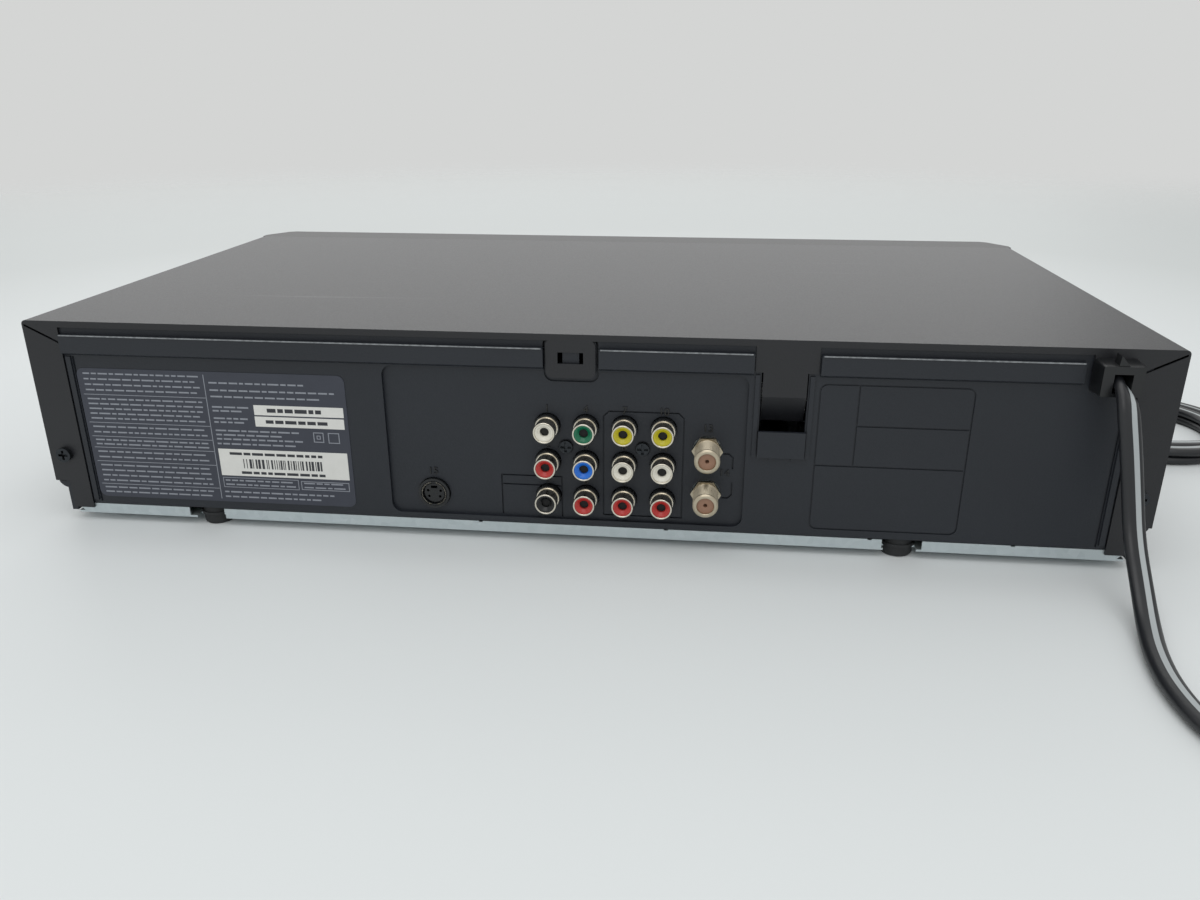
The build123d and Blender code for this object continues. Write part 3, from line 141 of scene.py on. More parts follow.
# ---------------------------------------------------------------- mains cord and its coil
# Flat two-core flex: two PVC covered conductors side by side, extruded as one with a groove
# between them and a pale stripe on one core. It hangs from the bushing with its flat side to the
# room, lies flat on the table, and the rest is wound four times round and tied.
MM = 0.001
CORD_WIDE, CORD_THICK = 7.6, 3.8
ROUTE = [
    (-191.2, 110.0, 74.6),
    (-191.2, 124.5, 74.6),
    (-194.2, 128.4, 57.4),
    (-197.1, 131.3, 39.5),
    (-198.7, 136.2, 23.6),
    (-199.2, 147.0, 11.6),
    (-197.4, 160.0, 4.6),
    (-193.6, 176.0, 2.9),
    (-191.0, 195.0, 2.9),
    (-193.0, 216.0, 2.9),
    (-205.0, 237.5, 2.9),
    (-228.5, 251.0, 2.9),
    (-256.0, 249.0, 2.9),
    (-279.0, 231.0, 2.9),
    (-292.5, 204.0, 2.9),
    (-298.5, 173.0, 2.9),
    (-302.0, 139.0, 2.9),
    (-305.5, 106.0, 2.9),
    (-310.0, 72.0, 2.9),
    (-313.2, 38.0, 2.9),
    (-313.9, 4.0, 2.9),
    (-313.5, -22.0, 2.9),
]
COIL_X, COIL_Y, COIL_R = -274.0, -45.0, 39.5
COIL_STEPS = 18
PLUG_TAIL_TURN = 262.0
# Each turn: how far out of the middle radius, and the height of its centre.
COIL_TURNS = ((3.9, 2.15), (-3.9, 2.15), (-3.9, 6.1), (3.9, 6.1))


def link(obj):
    """Put a new object into the scene."""
    bpy.context.scene.collection.objects.link(obj)
    return obj


def mesh_object(name, bm, *materials):
    """A new object from a finished bmesh, with its materials, linked into the scene."""
    mesh = bpy.data.meshes.new(name)
    bm.to_mesh(mesh)
    bm.free()
    for material in materials:
        mesh.materials.append(material)
    return link(bpy.data.objects.new(name, mesh))


def smooth(obj, angle=35):
    """Shade smooth, keeping edges sharper than the angle."""
    obj.data.shade_smooth()
    obj.data.set_sharp_from_angle(angle=math.radians(angle))
    return obj


coil_route = []
first_turn = 162.0
last_turn = PLUG_TAIL_TURN + 360 * 4
steps = round((last_turn - first_turn) / (360 / COIL_STEPS))
for k in range(steps + 1):
    angle = first_turn + (last_turn - first_turn) * k / steps
    turn = (angle - first_turn) / 360
    low = min(int(turn), 3)
    high = min(low + 1, 3)
    # The cord stays on one layer for most of a turn and shifts over in its last sixth.
    share = min(1.0, max(0.0, (turn - low - 0.83) / 0.17))
    out = COIL_TURNS[low][0] + (COIL_TURNS[high][0] - COIL_TURNS[low][0]) * share
    height = COIL_TURNS[low][1] + (COIL_TURNS[high][1] - COIL_TURNS[low][1]) * share
    radius = COIL_R + out
    coil_route.append(
        (
            COIL_X + radius * math.cos(math.radians(angle)),
            COIL_Y + radius * math.sin(math.radians(angle)),
            height,
        )
    )
line = bpy.data.curves.new("cord_line", "CURVE")
line.dimensions = "3D"
line.resolution_u = 6
spline = line.splines.new("NURBS")
control = ROUTE + coil_route
spline.points.add(len(control) - 1)
for point, place in zip(spline.points, control):
    point.co = (*[c * MM for c in place], 1.0)
spline.order_u = 3
spline.use_endpoint_u = True
cord_line = link(bpy.data.objects.new("cord_line", line))
bpy.context.view_layer.update()
sampled = bpy.data.meshes.new_from_object(cord_line)
cord_path = [Vector(v.co) for v in sampled.vertices]
bpy.data.meshes.remove(sampled)
bpy.data.objects.remove(cord_line)

# The section: two overlapping round cores. Its long side lies along the first axis.
bm = bmesh.new()
lie = bm.verts.layers.float_vector.new("lie")
ring = bmesh.ops.create_circle(bm, cap_ends=False, segments=28, radius=1.0)["verts"]
core = CORD_THICK / 2
for v in ring:
    angle = math.atan2(v.co.y, v.co.x)
    x = core * math.cos(angle) * CORD_WIDE / CORD_THICK
    inner = abs(x) - (CORD_WIDE / 2 - core)
    y = math.sqrt(max(0.0, core**2 - min(core, inner) ** 2)) if inner > 0 else core
    groove = 0.16 * math.exp(-((x / 0.8) ** 2))
    v.co = (x * MM, math.copysign(y - groove, math.sin(angle)) * MM, 0)
    v[lie] = (x, math.copysign(1, math.sin(angle)), 0)
edges = bm.edges[:]
TURNED, FLAT_DOWN = 0.024, 0.085


def cord_frames(path):
    """For each point of the line, a matrix that stands the section across it."""
    frames, run = [], 0.0
    for k, point in enumerate(path):
        before, after = path[max(0, k - 1)], path[min(len(path) - 1, k + 1)]
        run += (point - before).length
        along = (after - before).normalized()
        # On its edge in the bushing, facing the room on its way down, flat on the table.
        upright = Vector((0.6, 0.0, 1.0))
        facing = Vector((1.0, 0.12, 0.0))
        level = Vector((0, 0, 1)).cross(along)
        if run < TURNED:
            share = min(1.0, max(0.0, (run - 0.008) / (TURNED - 0.008)))
            wide = upright.lerp(facing, share)
        else:
            share = min(1.0, max(0.0, (run - FLAT_DOWN) / 0.06))
            if level.dot(facing) < 0 and run < FLAT_DOWN + 0.06:
                level = -level
            wide = facing.lerp(level, share) if level.length > 0.2 else facing
        wide = (wide - along * wide.dot(along)).normalized()
        if frames and wide.dot(frames[-1].to_3x3().col[0]) < 0:
            wide = -wide
        thick = along.cross(wide)
        frames.append(Matrix((wide, thick, along)).transposed().to_4x4())
        frames[-1].translation = point
    return frames


frames = cord_frames(cord_path)
bmesh.ops.transform(bm, matrix=frames[0], verts=ring)
bmesh.ops.contextual_create(bm, geom=edges)
for before, after in zip(frames, frames[1:]):
    grown = bmesh.ops.extrude_edge_only(bm, edges=edges)["geom"]
    edges = [e for e in grown if isinstance(e, bmesh.types.BMEdge)]
    bmesh.ops.transform(
        bm,
        matrix=after @ before.inverted(),
        verts=[v for v in grown if isinstance(v, bmesh.types.BMVert)],
    )
bmesh.ops.contextual_create(bm, geom=edges)
bmesh.ops.recalc_face_normals(bm, faces=bm.faces)

# Extruded PVC: satin black with a faint drag along its length, and a stripe printed on one core.
flex_pvc, tree, shader = new_material("flex_pvc_extruded")
where = add(tree, "ShaderNodeAttribute", attribute_name="lie")
split = add(tree, "ShaderNodeSeparateXYZ", [(0, where.outputs["Vector"])])
off_stripe = add(tree, "ShaderNodeMath", [(0, split.outputs["X"])], operation="SUBTRACT")
off_stripe.inputs[1].default_value = -0.85
distance = add(tree, "ShaderNodeMath", [(0, off_stripe.outputs[0])], operation="ABSOLUTE")
near = add(tree, "ShaderNodeMapRange", [("Value", distance.outputs[0])])
for name, value in (("From Min", 0.8), ("From Max", 0.95), ("To Min", 1.0), ("To Max", 0.0)):
    near.inputs[name].default_value = value
one_side = add(tree, "ShaderNodeMath", [(0, split.outputs["Y"])], operation="LESS_THAN")
one_side.inputs[1].default_value = 0.0
on_stripe = add(
    tree, "ShaderNodeMath", [(0, near.outputs[0]), (1, one_side.outputs[0])], operation="MULTIPLY"
)
paint = add(tree, "ShaderNodeMix", [("Factor", on_stripe.outputs[0])], data_type="RGBA")
paint.inputs["A"].default_value = linear("#16181c")
paint.inputs["B"].default_value = linear("#a3a9ab")
tree.links.new(paint.outputs["Result"], shader.inputs["Base Color"])
place = add(tree, "ShaderNodeTexCoord")
drag = add(tree, "ShaderNodeTexNoise", [("Vector", place.outputs["Object"])], Scale=420.0, Detail=2.0)
rough = add(tree, "ShaderNodeMapRange", [("Value", drag.outputs["Fac"])])
rough.inputs["To Min"].default_value = 0.3
rough.inputs["To Max"].default_value = 0.46
tree.links.new(rough.outputs[0], shader.inputs["Roughness"])
shader.inputs["Specular IOR Level"].default_value = 0.55
bump = add(tree, "ShaderNodeBump", [("Height", drag.outputs["Fac"])], Strength=0.12, Distance=0.0002)
tree.links.new(bump.outputs[0], shader.inputs["Normal"])
flex = smooth(mesh_object("mains_flex", bm, flex_pvc))
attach(flex, "case")
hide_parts("power_cord", "cord_coil")

# Tie: a nylon hook strap wrapped once round the coil.
TIE_TURN, TIE_WIDE = 318.0, 9.0
bm = bmesh.new()
bmesh.ops.create_grid(bm, x_segments=1, y_segments=1, size=0.5)
bmesh.ops.scale(bm, vec=(17.4, 8.4, 1), verts=bm.verts)
strap_edges = bm.edges[:]
bmesh.ops.delete(bm, geom=bm.faces[:], context="FACES_ONLY")
corners = bmesh.ops.bevel(
    bm,
    geom=bm.verts[:],
    offset=2.6,
    segments=6,
    profile=0.5,
    affect="VERTICES",
    material=-1,
)
bmesh.ops.rotate(bm, cent=(0, 0, 0), matrix=Matrix.Rotation(math.pi / 2, 3, "X"), verts=bm.verts)
bmesh.ops.translate(bm, vec=(COIL_R, -TIE_WIDE / 2, 4.35), verts=bm.verts)
wall = bmesh.ops.extrude_edge_only(bm, edges=bm.edges[:])["geom"]
far_rim = [v for v in wall if isinstance(v, bmesh.types.BMVert)]
bmesh.ops.translate(bm, vec=(0, TIE_WIDE, 0), verts=far_rim)
bmesh.ops.recalc_face_normals(bm, faces=bm.faces)
bmesh.ops.solidify(bm, geom=bm.faces[:], thickness=0.35)
bmesh.ops.rotate(
    bm, cent=(0, 0, 0), matrix=Matrix.Rotation(math.radians(TIE_TURN), 3, "Z"), verts=bm.verts
)
bmesh.ops.translate(bm, vec=(COIL_X, COIL_Y, 0), verts=bm.verts)
bmesh.ops.scale(bm, vec=(MM, MM, MM), verts=bm.verts)
bmesh.ops.recalc_face_normals(bm, faces=bm.faces)


def mottled(name, shades, grit, rough, relief=0.0, metallic=0.0):
    """A finish whose shade, gloss and relief vary with a noise of the given grit in millimetres."""
    material, tree, shader = new_material(name)
    place = add(tree, "ShaderNodeTexCoord")
    grain = add(
        tree,
        "ShaderNodeTexNoise",
        [("Vector", place.outputs["Object"])],
        Scale=1 / (grit * MM),
        Detail=3.0,
    )
    tint = add(tree, "ShaderNodeMix", [("Factor", grain.outputs["Fac"])], data_type="RGBA")
    tint.inputs["A"].default_value = linear(shades[0])
    tint.inputs["B"].default_value = linear(shades[1])
    tree.links.new(tint.outputs["Result"], shader.inputs["Base Color"])
    gloss = add(tree, "ShaderNodeMapRange", [("Value", grain.outputs["Fac"])])
    gloss.inputs["To Min"].default_value = rough[0]
    gloss.inputs["To Max"].default_value = rough[1]
    tree.links.new(gloss.outputs[0], shader.inputs["Roughness"])
    shader.inputs["Metallic"].default_value = metallic
    if relief:
        bump = add(tree, "ShaderNodeBump", [("Height", grain.outputs["Fac"])], Distance=relief * MM)
        bump.inputs["Strength"].default_value = 0.5
        tree.links.new(bump.outputs[0], shader.inputs["Normal"])
    return material


# Woven nylon: dull black, rough to the eye.
tie_nylon = mottled("tie_nylon_woven", ("#0f1011", "#2a2c2e"), 0.8, (0.8, 0.9), relief=0.15)
tie = smooth(mesh_object("coil_tie", bm, tie_nylon))
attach(tie, "case")

# The moulded plug keeps its solid: body, relief and blades in one piece of the same PVC.
plug_pvc = mottled("plug_pvc_moulded", ("#131416", "#1d1f21"), 0.5, (0.36, 0.48), relief=0.05)


def dress(material, *nodes):
    """Give CAD nodes a finish."""
    for node in nodes:
        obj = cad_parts[node]
        if not obj.material_slots:
            obj.data.materials.append(material)
        for holder in obj.material_slots:
            holder.material = material


dress(plug_pvc, "power_plug")

# ---------------------------------------------------------------- bottom pan and feet
# Pressed from zinc-coated steel sheet, folded up behind into the bright strip that shows under
# the rear panel. Rubber feet stand in its cut-outs.
zinc_sheet, tree, shader = new_material("galvanised_steel_rolled")
place = add(tree, "ShaderNodeTexCoord")
spangle = add(tree, "ShaderNodeTexVoronoi", [("Vector", place.outputs["Object"])], Scale=420.0)
tone = add(tree, "ShaderNodeMapRange", [("Value", spangle.outputs["Color"])])
tint = add(tree, "ShaderNodeMix", [("Factor", tone.outputs[0])], data_type="RGBA")
tint.inputs["A"].default_value = linear("#bfc9cc")
tint.inputs["B"].default_value = linear("#c9d2d5")
tree.links.new(tint.outputs["Result"], shader.inputs["Base Color"])
shader.inputs["Metallic"].default_value = 0.85
blur = add(tree, "ShaderNodeTexNoise", [("Vector", place.outputs["Object"])], Scale=90.0, Detail=4.0)
rough = add(tree, "ShaderNodeMapRange", [("Value", blur.outputs["Fac"])])
rough.inputs["To Min"].default_value = 0.42
rough.inputs["To Max"].default_value = 0.52
tree.links.new(rough.outputs[0], shader.inputs["Roughness"])
dress(
    zinc_sheet,
    "bottom_pan",
    "deck_plate",
    "carriage_rails",
    "cassette_slider",
    "cassette_basket",
    "clamp_bridge",
    "tuner_box",
)

# Moulded rubber: matte black with a dusty bloom.
foot_rubber = mottled("rubber_moulded", ("#141516", "#27292b"), 2.0, (0.62, 0.78))
dress(foot_rubber, "rear_feet", "front_feet", "pinch_roller", "tray_belt")

# ---------------------------------------------------------------- chassis
# Injection-moulded black ABS skirt between the pan and the cover, with a fine spark grain.
grained_abs, tree, shader = new_material("black_abs_spark_grain")
place = add(tree, "ShaderNodeTexCoord")
# The grain is about 0.15 mm; drawn near 0.4 mm so that it shows.
grain = add(tree, "ShaderNodeTexNoise", [("Vector", place.outputs["Object"])], Scale=1400.0, Detail=3.0)
cloud = add(tree, "ShaderNodeTexNoise", [("Vector", place.outputs["Object"])], Scale=14.0, Detail=3.0)
tint = add(tree, "ShaderNodeMix", [("Factor", cloud.outputs["Fac"])], data_type="RGBA")
tint.inputs["A"].default_value = linear("#14181f")
tint.inputs["B"].default_value = linear("#1b2028")
tree.links.new(tint.outputs["Result"], shader.inputs["Base Color"])
rough = add(tree, "ShaderNodeMapRange", [("Value", grain.outputs["Fac"])])
rough.inputs["To Min"].default_value = 0.42
rough.inputs["To Max"].default_value = 0.6
tree.links.new(rough.outputs[0], shader.inputs["Roughness"])
bump = add(tree, "ShaderNodeBump", [("Height", grain.outputs["Fac"])], Strength=0.25, Distance=0.0002)
tree.links.new(bump.outputs[0], shader.inputs["Normal"])
dress(grained_abs, "chassis_frame", "rear_panel")

# ---------------------------------------------------------------- boards
# Fibreglass boards with green solder mask, black moulded chips and sleeved capacitors. They
# stand on the pan's stamped pips, and everything above the mask is a black moulding.


def board_finish(name, top):
    """Solder mask up to the board's top face in millimetres, black mouldings above it."""
    material, tree, shader = new_material(name)
    place = add(tree, "ShaderNodeTexCoord")
    height = add(tree, "ShaderNodeSeparateXYZ", [(0, place.outputs["Object"])])
    above = add(tree, "ShaderNodeMath", [(0, height.outputs[top[0]])], operation="GREATER_THAN")
    above.inputs[1].default_value = top[1] * MM
    tracks = add(tree, "ShaderNodeTexBrick", [("Vector", place.outputs["Object"])], Scale=120.0)
    tracks.inputs["Color1"].default_value = linear("#1f5a2f")
    tracks.inputs["Color2"].default_value = linear("#2b6e3a")
    tracks.inputs["Mortar"].default_value = linear("#184a27")
    tint = add(
        tree,
        "ShaderNodeMix",
        [("Factor", above.outputs[0]), ("A", tracks.outputs["Color"])],
        data_type="RGBA",
    )
    tint.inputs["B"].default_value = linear("#1b1c1e")
    tree.links.new(tint.outputs["Result"], shader.inputs["Base Color"])
    shader.inputs["Roughness"].default_value = 0.35
    return material


dress(board_finish("solder_mask_and_mouldings", ("Z", 10.7)), "main_board")
dress(board_finish("solder_mask_and_transformer", ("Z", 11.65)), "power_board")
dress(board_finish("solder_mask_upright", ("Z", 90.0)), "front_board")

# ---------------------------------------------------------------- cassette deck
# Turned aluminium video drum, polished where the tape runs, on a zinc sheet deck with ground
# steel shafts and moulded acetal reel tables.
turned_aluminium = mottled(
    "aluminium_turned", ("#c6c8ca", "#dcdedf"), 0.6, (0.16, 0.24), metallic=1.0
)
dress(turned_aluminium, "lower_drum", "head_drum")
ground_steel = mottled("steel_ground", ("#a8aaac", "#c2c4c6"), 1.5, (0.2, 0.34), metallic=1.0)
dress(ground_steel, "capstan", "pinch_arm", "lead_screw", "tray_motor")
acetal = mottled("acetal_moulded", ("#d8d7cd", "#e3e2da"), 3.0, (0.4, 0.52))
dress(acetal, "supply_reel", "takeup_reel", "tray_pinion", "disc_clamp")

# ---------------------------------------------------------------- disc deck
# Black moulded loader, tray and traverse with a rubber-faced turntable and the laser pickup.
deck_moulding = mottled("black_abs_moulded", ("#191b1d", "#222426"), 0.6, (0.4, 0.5), relief=0.04)
dress(deck_moulding, "loader_frame", "traverse_frame", "dvd_tray", "disc_turntable", "pickup")

# ---------------------------------------------------------------- rear panel
# Moulded black ABS plate. A printed label is stuck on its left, and numbers are raised beside
# the jacks in the same black.
LABEL_X, LABEL_Z, LABEL_THICK, PANEL_FACE = (87.5, 196.8), (11.2, 66.2), 0.2, 112.0


def plate(bm, x, z, y):
    """A thin closed block on the rear, from its x, z and y limits in millimetres."""
    made = bmesh.ops.create_cube(bm, size=1.0)["verts"]
    bmesh.ops.scale(bm, vec=(x[1] - x[0], y[1] - y[0], z[1] - z[0]), verts=made)
    bmesh.ops.translate(bm, vec=(sum(x) / 2, sum(y) / 2, sum(z) / 2), verts=made)
    return made


bm = bmesh.new()
plate(bm, LABEL_X, LABEL_Z, (PANEL_FACE - 0.1, PANEL_FACE + LABEL_THICK))
upright = [e for e in bm.edges if abs(e.verts[0].co.y - e.verts[1].co.y) > 0.1]
bmesh.ops.bevel(
    bm, geom=upright, offset=3.0, segments=6, profile=0.5, affect="EDGES", material=-1
)
bmesh.ops.scale(bm, vec=(MM, MM, MM), verts=bm.verts)
# Printed polyester film: blue-grey, a little glossy, slightly uneven where it is stuck down.
label_film = mottled("label_film_printed", ("#2f323d", "#363a45"), 6.0, (0.36, 0.46), relief=0.03)
label = mesh_object("rating_label", bm, label_film)
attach(label, "case")

# Its print: pale rules, white fields, and short dashes in place of words.
DIVIDER = 144.2
RULES = (55.4, 43.6, 37.7, 32.9, 26.9, 16.9)
FIELDS = (((89.0, 125.3), (49.1, 53.2)), ((89.1, 125.4), (44.3, 48.5)), ((89.2, 142.6), (22.8, 34.3)))
INK = (PANEL_FACE + LABEL_THICK - 0.02, PANEL_FACE + LABEL_THICK + 0.03)
bm = bmesh.new()
plate(bm, (DIVIDER - 0.15, DIVIDER + 0.15), (LABEL_Z[0] + 1.2, LABEL_Z[1] - 1.2), INK)
for z in RULES:
    plate(bm, (DIVIDER, LABEL_X[1] - 1.4), (z - 0.13, z + 0.13), INK)
words = random.Random(7)


def dashes(bm, x, z, tall, ink):
    """A row of dashes that fills a width from its high end, as a line of words does."""
    at = x[1]
    while at > x[0] + 1.5:
        long = min(words.uniform(1.6, 5.2), at - x[0])
        plate(bm, (at - long, at), (z - tall / 2, z + tall / 2), ink)
        at -= long + 0.7


def outline(bm, x, z, wide, ink):
    """A printed rectangle of four strokes."""
    for edge in (x[0], x[1] - wide):
        plate(bm, (edge, edge + wide), z, ink)
    for edge in (z[0], z[1] - wide):
        plate(bm, (x[0] + wide, x[1] - wide), (edge, edge + wide), ink)


BLOCKS = (
    # low, high, lines of words
    (56.2, 65.2, 4), (44.4, 54.6, 5), (38.4, 43.0, 2), (33.5, 37.1, 2), (27.6, 32.3, 2),
    (17.4, 26.3, 4), (12.4, 16.4, 2),
)
for low, high, rows in BLOCKS:
    for k in range(rows):
        z = high - (high - low) * (k + 0.5) / rows
        dashes(bm, (DIVIDER + 2, LABEL_X[1] - 2.6), z, 0.6, INK)
HEADINGS = (
    (61.8, 104), (58.8, 92), (56.2, 98), (51.9, 127.5), (50.3, 130.5), (47.2, 127.5), (45.6, 128.5),
    (42.1, 108), (40.3, 114), (38.5, 106), (36.5, 110),
)
for z, x0 in HEADINGS:
    dashes(bm, (x0, 142.4), z, 0.65, INK)
outline(bm, (98.0, 102.2), (38.5, 42.7), 0.35, INK)
outline(bm, (99.3, 100.9), (39.8, 41.4), 0.3, INK)
outline(bm, (91.6, 96.2), (38.3, 42.7), 0.35, INK)
outline(bm, (110.6, 142.4), (17.6, 22.0), 0.25, INK)
outline(bm, (89.6, 109.6), (17.8, 21.6), 0.3, INK)
for z in (20.7, 18.9):
    dashes(bm, (112.0, 141.4), z, 0.6, INK)
    dashes(bm, (90.8, 108.4), z, 0.55, INK)
for z, x0 in ((15.6, 96), (13.5, 102)):
    dashes(bm, (x0, 142.4), z, 0.65, INK)
bmesh.ops.scale(bm, vec=(MM, MM, MM), verts=bm.verts)
pale_ink = mottled("screen_ink_pale", ("#7d818a", "#8f939b"), 1.0, (0.5, 0.6))
print_lines = mesh_object("label_print", bm, pale_ink)
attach(print_lines, "case")

bm = bmesh.new()
for x, z in FIELDS:
    plate(bm, x, z, INK)
bmesh.ops.scale(bm, vec=(MM, MM, MM), verts=bm.verts)
white_ink = mottled("screen_ink_white", ("#cfcfcb", "#dadad6"), 3.0, (0.45, 0.55))
fields = mesh_object("label_fields", bm, white_ink)
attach(fields, "case")

bm = bmesh.new()
TOP_INK = (INK[1] - 0.01, INK[1] + 0.03)
dashes(bm, (98, 120), 51.1, 1.6, TOP_INK)
dashes(bm, (94, 121), 46.4, 1.4, TOP_INK)
dashes(bm, (98, 138), 32.4, 1.1, TOP_INK)
dashes(bm, (98, 134), 24.3, 1.1, TOP_INK)
at = 100.0
while at < 133:
    wide = words.choice((0.35, 0.35, 0.7, 1.0))
    plate(bm, (at, at + wide), (26.2, 30.2), TOP_INK)
    at += wide + words.choice((0.35, 0.6, 0.9))
bmesh.ops.scale(bm, vec=(MM, MM, MM), verts=bm.verts)
dark_ink = mottled("screen_ink_dark", ("#26282d", "#303238"), 1.0, (0.5, 0.6))
bars = mesh_object("label_bars", bm, dark_ink)
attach(bars, "case")

# The lips under the cover's flange are worn grey along their upper edge, with a painted highlight there
# too: a thin pale strip along each lip's top.
LIPS = ((9.8, 200.1), (-67.5, -11.0), (-181.3, -91.2))
RUB_GLINT_Z, RUB_GLINT_Y = (79.5, 79.92), (114.4, 114.77)
bm = bmesh.new()
for low, high in LIPS:
    plate(bm, (low + 0.6, high - 0.6), RUB_GLINT_Z, RUB_GLINT_Y)
bmesh.ops.scale(bm, vec=(MM, MM, MM), verts=bm.verts)
rub_and_highlight = mottled("black_abs_rubbed", ("#24272b", "#a9adb0"), 1.6, (0.3, 0.5))
lip_edges = mesh_object("lip_edges", bm, rub_and_highlight)
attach(lip_edges, "case")

# Raised numbers, one beside each jack, moulded with the panel.
FIELD_FACE = 110.4


def numeral(text, x, z, tall, face, name):
    """A raised number on the rear, read from behind."""
    curve = bpy.data.curves.new(name, "FONT")
    curve.body = text
    curve.size = tall * MM * 1.4
    curve.extrude = 0.25 * MM
    curve.align_x = "CENTER"
    curve.align_y = "CENTER"
    curve.resolution_u = 3
    flat = link(bpy.data.objects.new(name + "_text", curve))
    bpy.context.view_layer.update()
    mesh = bpy.data.meshes.new_from_object(flat.evaluated_get(bpy.context.evaluated_depsgraph_get()))
    bpy.data.objects.remove(flat)
    # Stand it up, facing the rear.
    mesh.transform(
        Matrix.Translation((x * MM, (face + 0.2) * MM, z * MM))
        @ Matrix.Rotation(math.pi, 4, "Z")
        @ Matrix.Rotation(math.pi / 2, 4, "X")
    )
    return mesh


numbers = bmesh.new()
PLACES = [
    (str(3 * column + row + 1), x, z + 7.0, 3.0)
    for column, x in enumerate((9.2, -5.6, -20.4, -35.2))
    for row, z in enumerate((48.5, 33.95, 19.4))
] + [("13", -51.85, 49.6, 3.0), ("14", -58.6, 31.8, 3.0), ("15", 55.2, 27.8, 3.0)]
for text, x, z, tall in PLACES:
    made = numeral(text, x, z, tall, FIELD_FACE, f"number_{text}")
    numbers.from_mesh(made)
    bpy.data.meshes.remove(made)
polished_abs = mottled("black_abs_polished", ("#0a0b0d", "#0f1012"), 2.0, (0.2, 0.3))
raised = mesh_object("jack_numbers", numbers, polished_abs)
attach(raised, "case")

# ---------------------------------------------------------------- jacks
# Phono jacks: nickel-plated brass sleeves round glossy coloured inserts, in a black block.
nickel = mottled("nickel_plate_bright", ("#d6cfc0", "#e2dccf"), 4.0, (0.12, 0.2), metallic=1.0)
dress(nickel, "rca_sleeves")
for node, shades in (
    ("rca_white", ("#d9d5c9", "#e4e1d6")),
    ("rca_red", ("#a82a26", "#b8322d")),
    ("rca_yellow", ("#b3a818", "#c0b51f")),
    ("rca_green", ("#0c6244", "#11704f")),
    ("rca_blue", ("#1a66c6", "#2272d4")),
):
    dress(mottled(f"abs_gloss_{node[4:]}", shades, 5.0, (0.2, 0.28)), node)
# A tinned spring contact closes each bore; it is coloured near black as painted shade for the dark inside
# of the hole.
contacts = bmesh.new()
REAR_CONTACTS = [(x, z, 108.2, 117.0) for x in (9.2, -5.6, -20.4, -35.2) for z in (48.5, 33.95, 19.4)]
FRONT_CONTACTS = [(x, 18.0, -120.6, -114.2) for x in (-186.0, -171.0, -156.0)]
for x, z, low, high in REAR_CONTACTS + FRONT_CONTACTS:
    pin = bmesh.ops.create_cone(
        contacts, cap_ends=True, segments=20, radius1=1.73, radius2=1.73, depth=high - low
    )["verts"]
    bmesh.ops.rotate(contacts, cent=(0, 0, 0), matrix=Matrix.Rotation(math.pi / 2, 3, "X"), verts=pin)
    bmesh.ops.translate(contacts, vec=(x, (low + high) / 2, z), verts=pin)
bmesh.ops.scale(contacts, vec=(MM, MM, MM), verts=contacts.verts)
painted_bore_shade = mottled("tin_plate_tarnished", ("#040404", "#080808"), 1.0, (0.6, 0.75))
springs = smooth(mesh_object("phono_contacts", contacts, painted_bore_shade), 30)
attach(springs, "case")

block_plastic = mottled("black_abs_gloss", ("#121315", "#181a1c"), 3.0, (0.22, 0.32))
dress(block_plastic, "rca_block", "front_jack_block", "svideo_jack")

# Aerial jacks: die-cast and nickel plated, with a fine thread rolled on the barrel and a pale
# moulded insulator in the mouth.
AERIAL_X, AERIAL_R = -51.85, 4.76
THREAD, NUT_R = 0.79, 5.9
warm_nickel = mottled("nickel_plate_satin", ("#b5aa94", "#c4baa6"), 2.0, (0.24, 0.36), metallic=1.0)
profile = [(0.0, 110.2), (AERIAL_R - 0.35, 110.2), (AERIAL_R - 0.35, 112.1)]
for k in range(12):
    y = 112.2 + THREAD * k
    profile += [(AERIAL_R, y), (AERIAL_R, y + 0.3), (AERIAL_R - 0.3, y + 0.55)]
profile += [(AERIAL_R, 121.7), (AERIAL_R, 122.4), (4.3, 122.9), (4.1, 123.0)]
profile += [(3.35, 123.0), (3.2, 122.8), (3.2, 121.6)]
mouth_profile = [(3.2, 121.6), (3.2, 122.2), (1.5, 122.35), (0.75, 122.1), (0.6, 119.5), (0.0, 119.5)]
aerials = bmesh.new()
insulators = bmesh.new()
for z in (40.8, 23.1):
    for target, half_section in ((aerials, profile), (insulators, mouth_profile)):
        ring = [target.verts.new((r, y, 0)) for r, y in half_section]
        spokes = [target.edges.new(pair) for pair in zip(ring, ring[1:])]
        spun = bmesh.ops.spin(
            target,
            geom=ring + spokes,
            cent=(0, 0, 0),
            axis=(0, 1, 0),
            angle=2 * math.pi,
            steps=48,
            use_merge=True,
            use_duplicate=False,
        )
        turned = [v for v in target.verts if abs(v.co.z) < 7 and abs(v.co.x) < 7]
        bmesh.ops.remove_doubles(target, verts=turned, dist=0.001)
        turned = [v for v in target.verts if abs(v.co.z) < 7 and abs(v.co.x) < 7]
        bmesh.ops.translate(target, vec=(AERIAL_X, 0, z), verts=turned)
    # The hexagon that the nut spanner takes.
    before = set(aerials.verts)
    bmesh.ops.create_cone(
        aerials, cap_ends=True, segments=6, radius1=NUT_R, radius2=NUT_R, depth=1.5
    )
    nut = [v for v in aerials.verts if v not in before]
    # Its points lie to the left and right.
    bmesh.ops.rotate(aerials, cent=(0, 0, 0), matrix=Matrix.Rotation(math.pi / 2, 3, "Z"), verts=nut)
    bmesh.ops.rotate(aerials, cent=(0, 0, 0), matrix=Matrix.Rotation(math.pi / 2, 3, "X"), verts=nut)
    bmesh.ops.translate(aerials, vec=(AERIAL_X, 111.25, z), verts=nut)
for target in (aerials, insulators):
    bmesh.ops.recalc_face_normals(target, faces=target.faces)
    bmesh.ops.scale(target, vec=(MM, MM, MM), verts=target.verts)
barrels = smooth(mesh_object("aerial_barrels", aerials, warm_nickel), 30)
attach(barrels, "case")
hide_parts("rf_connectors")
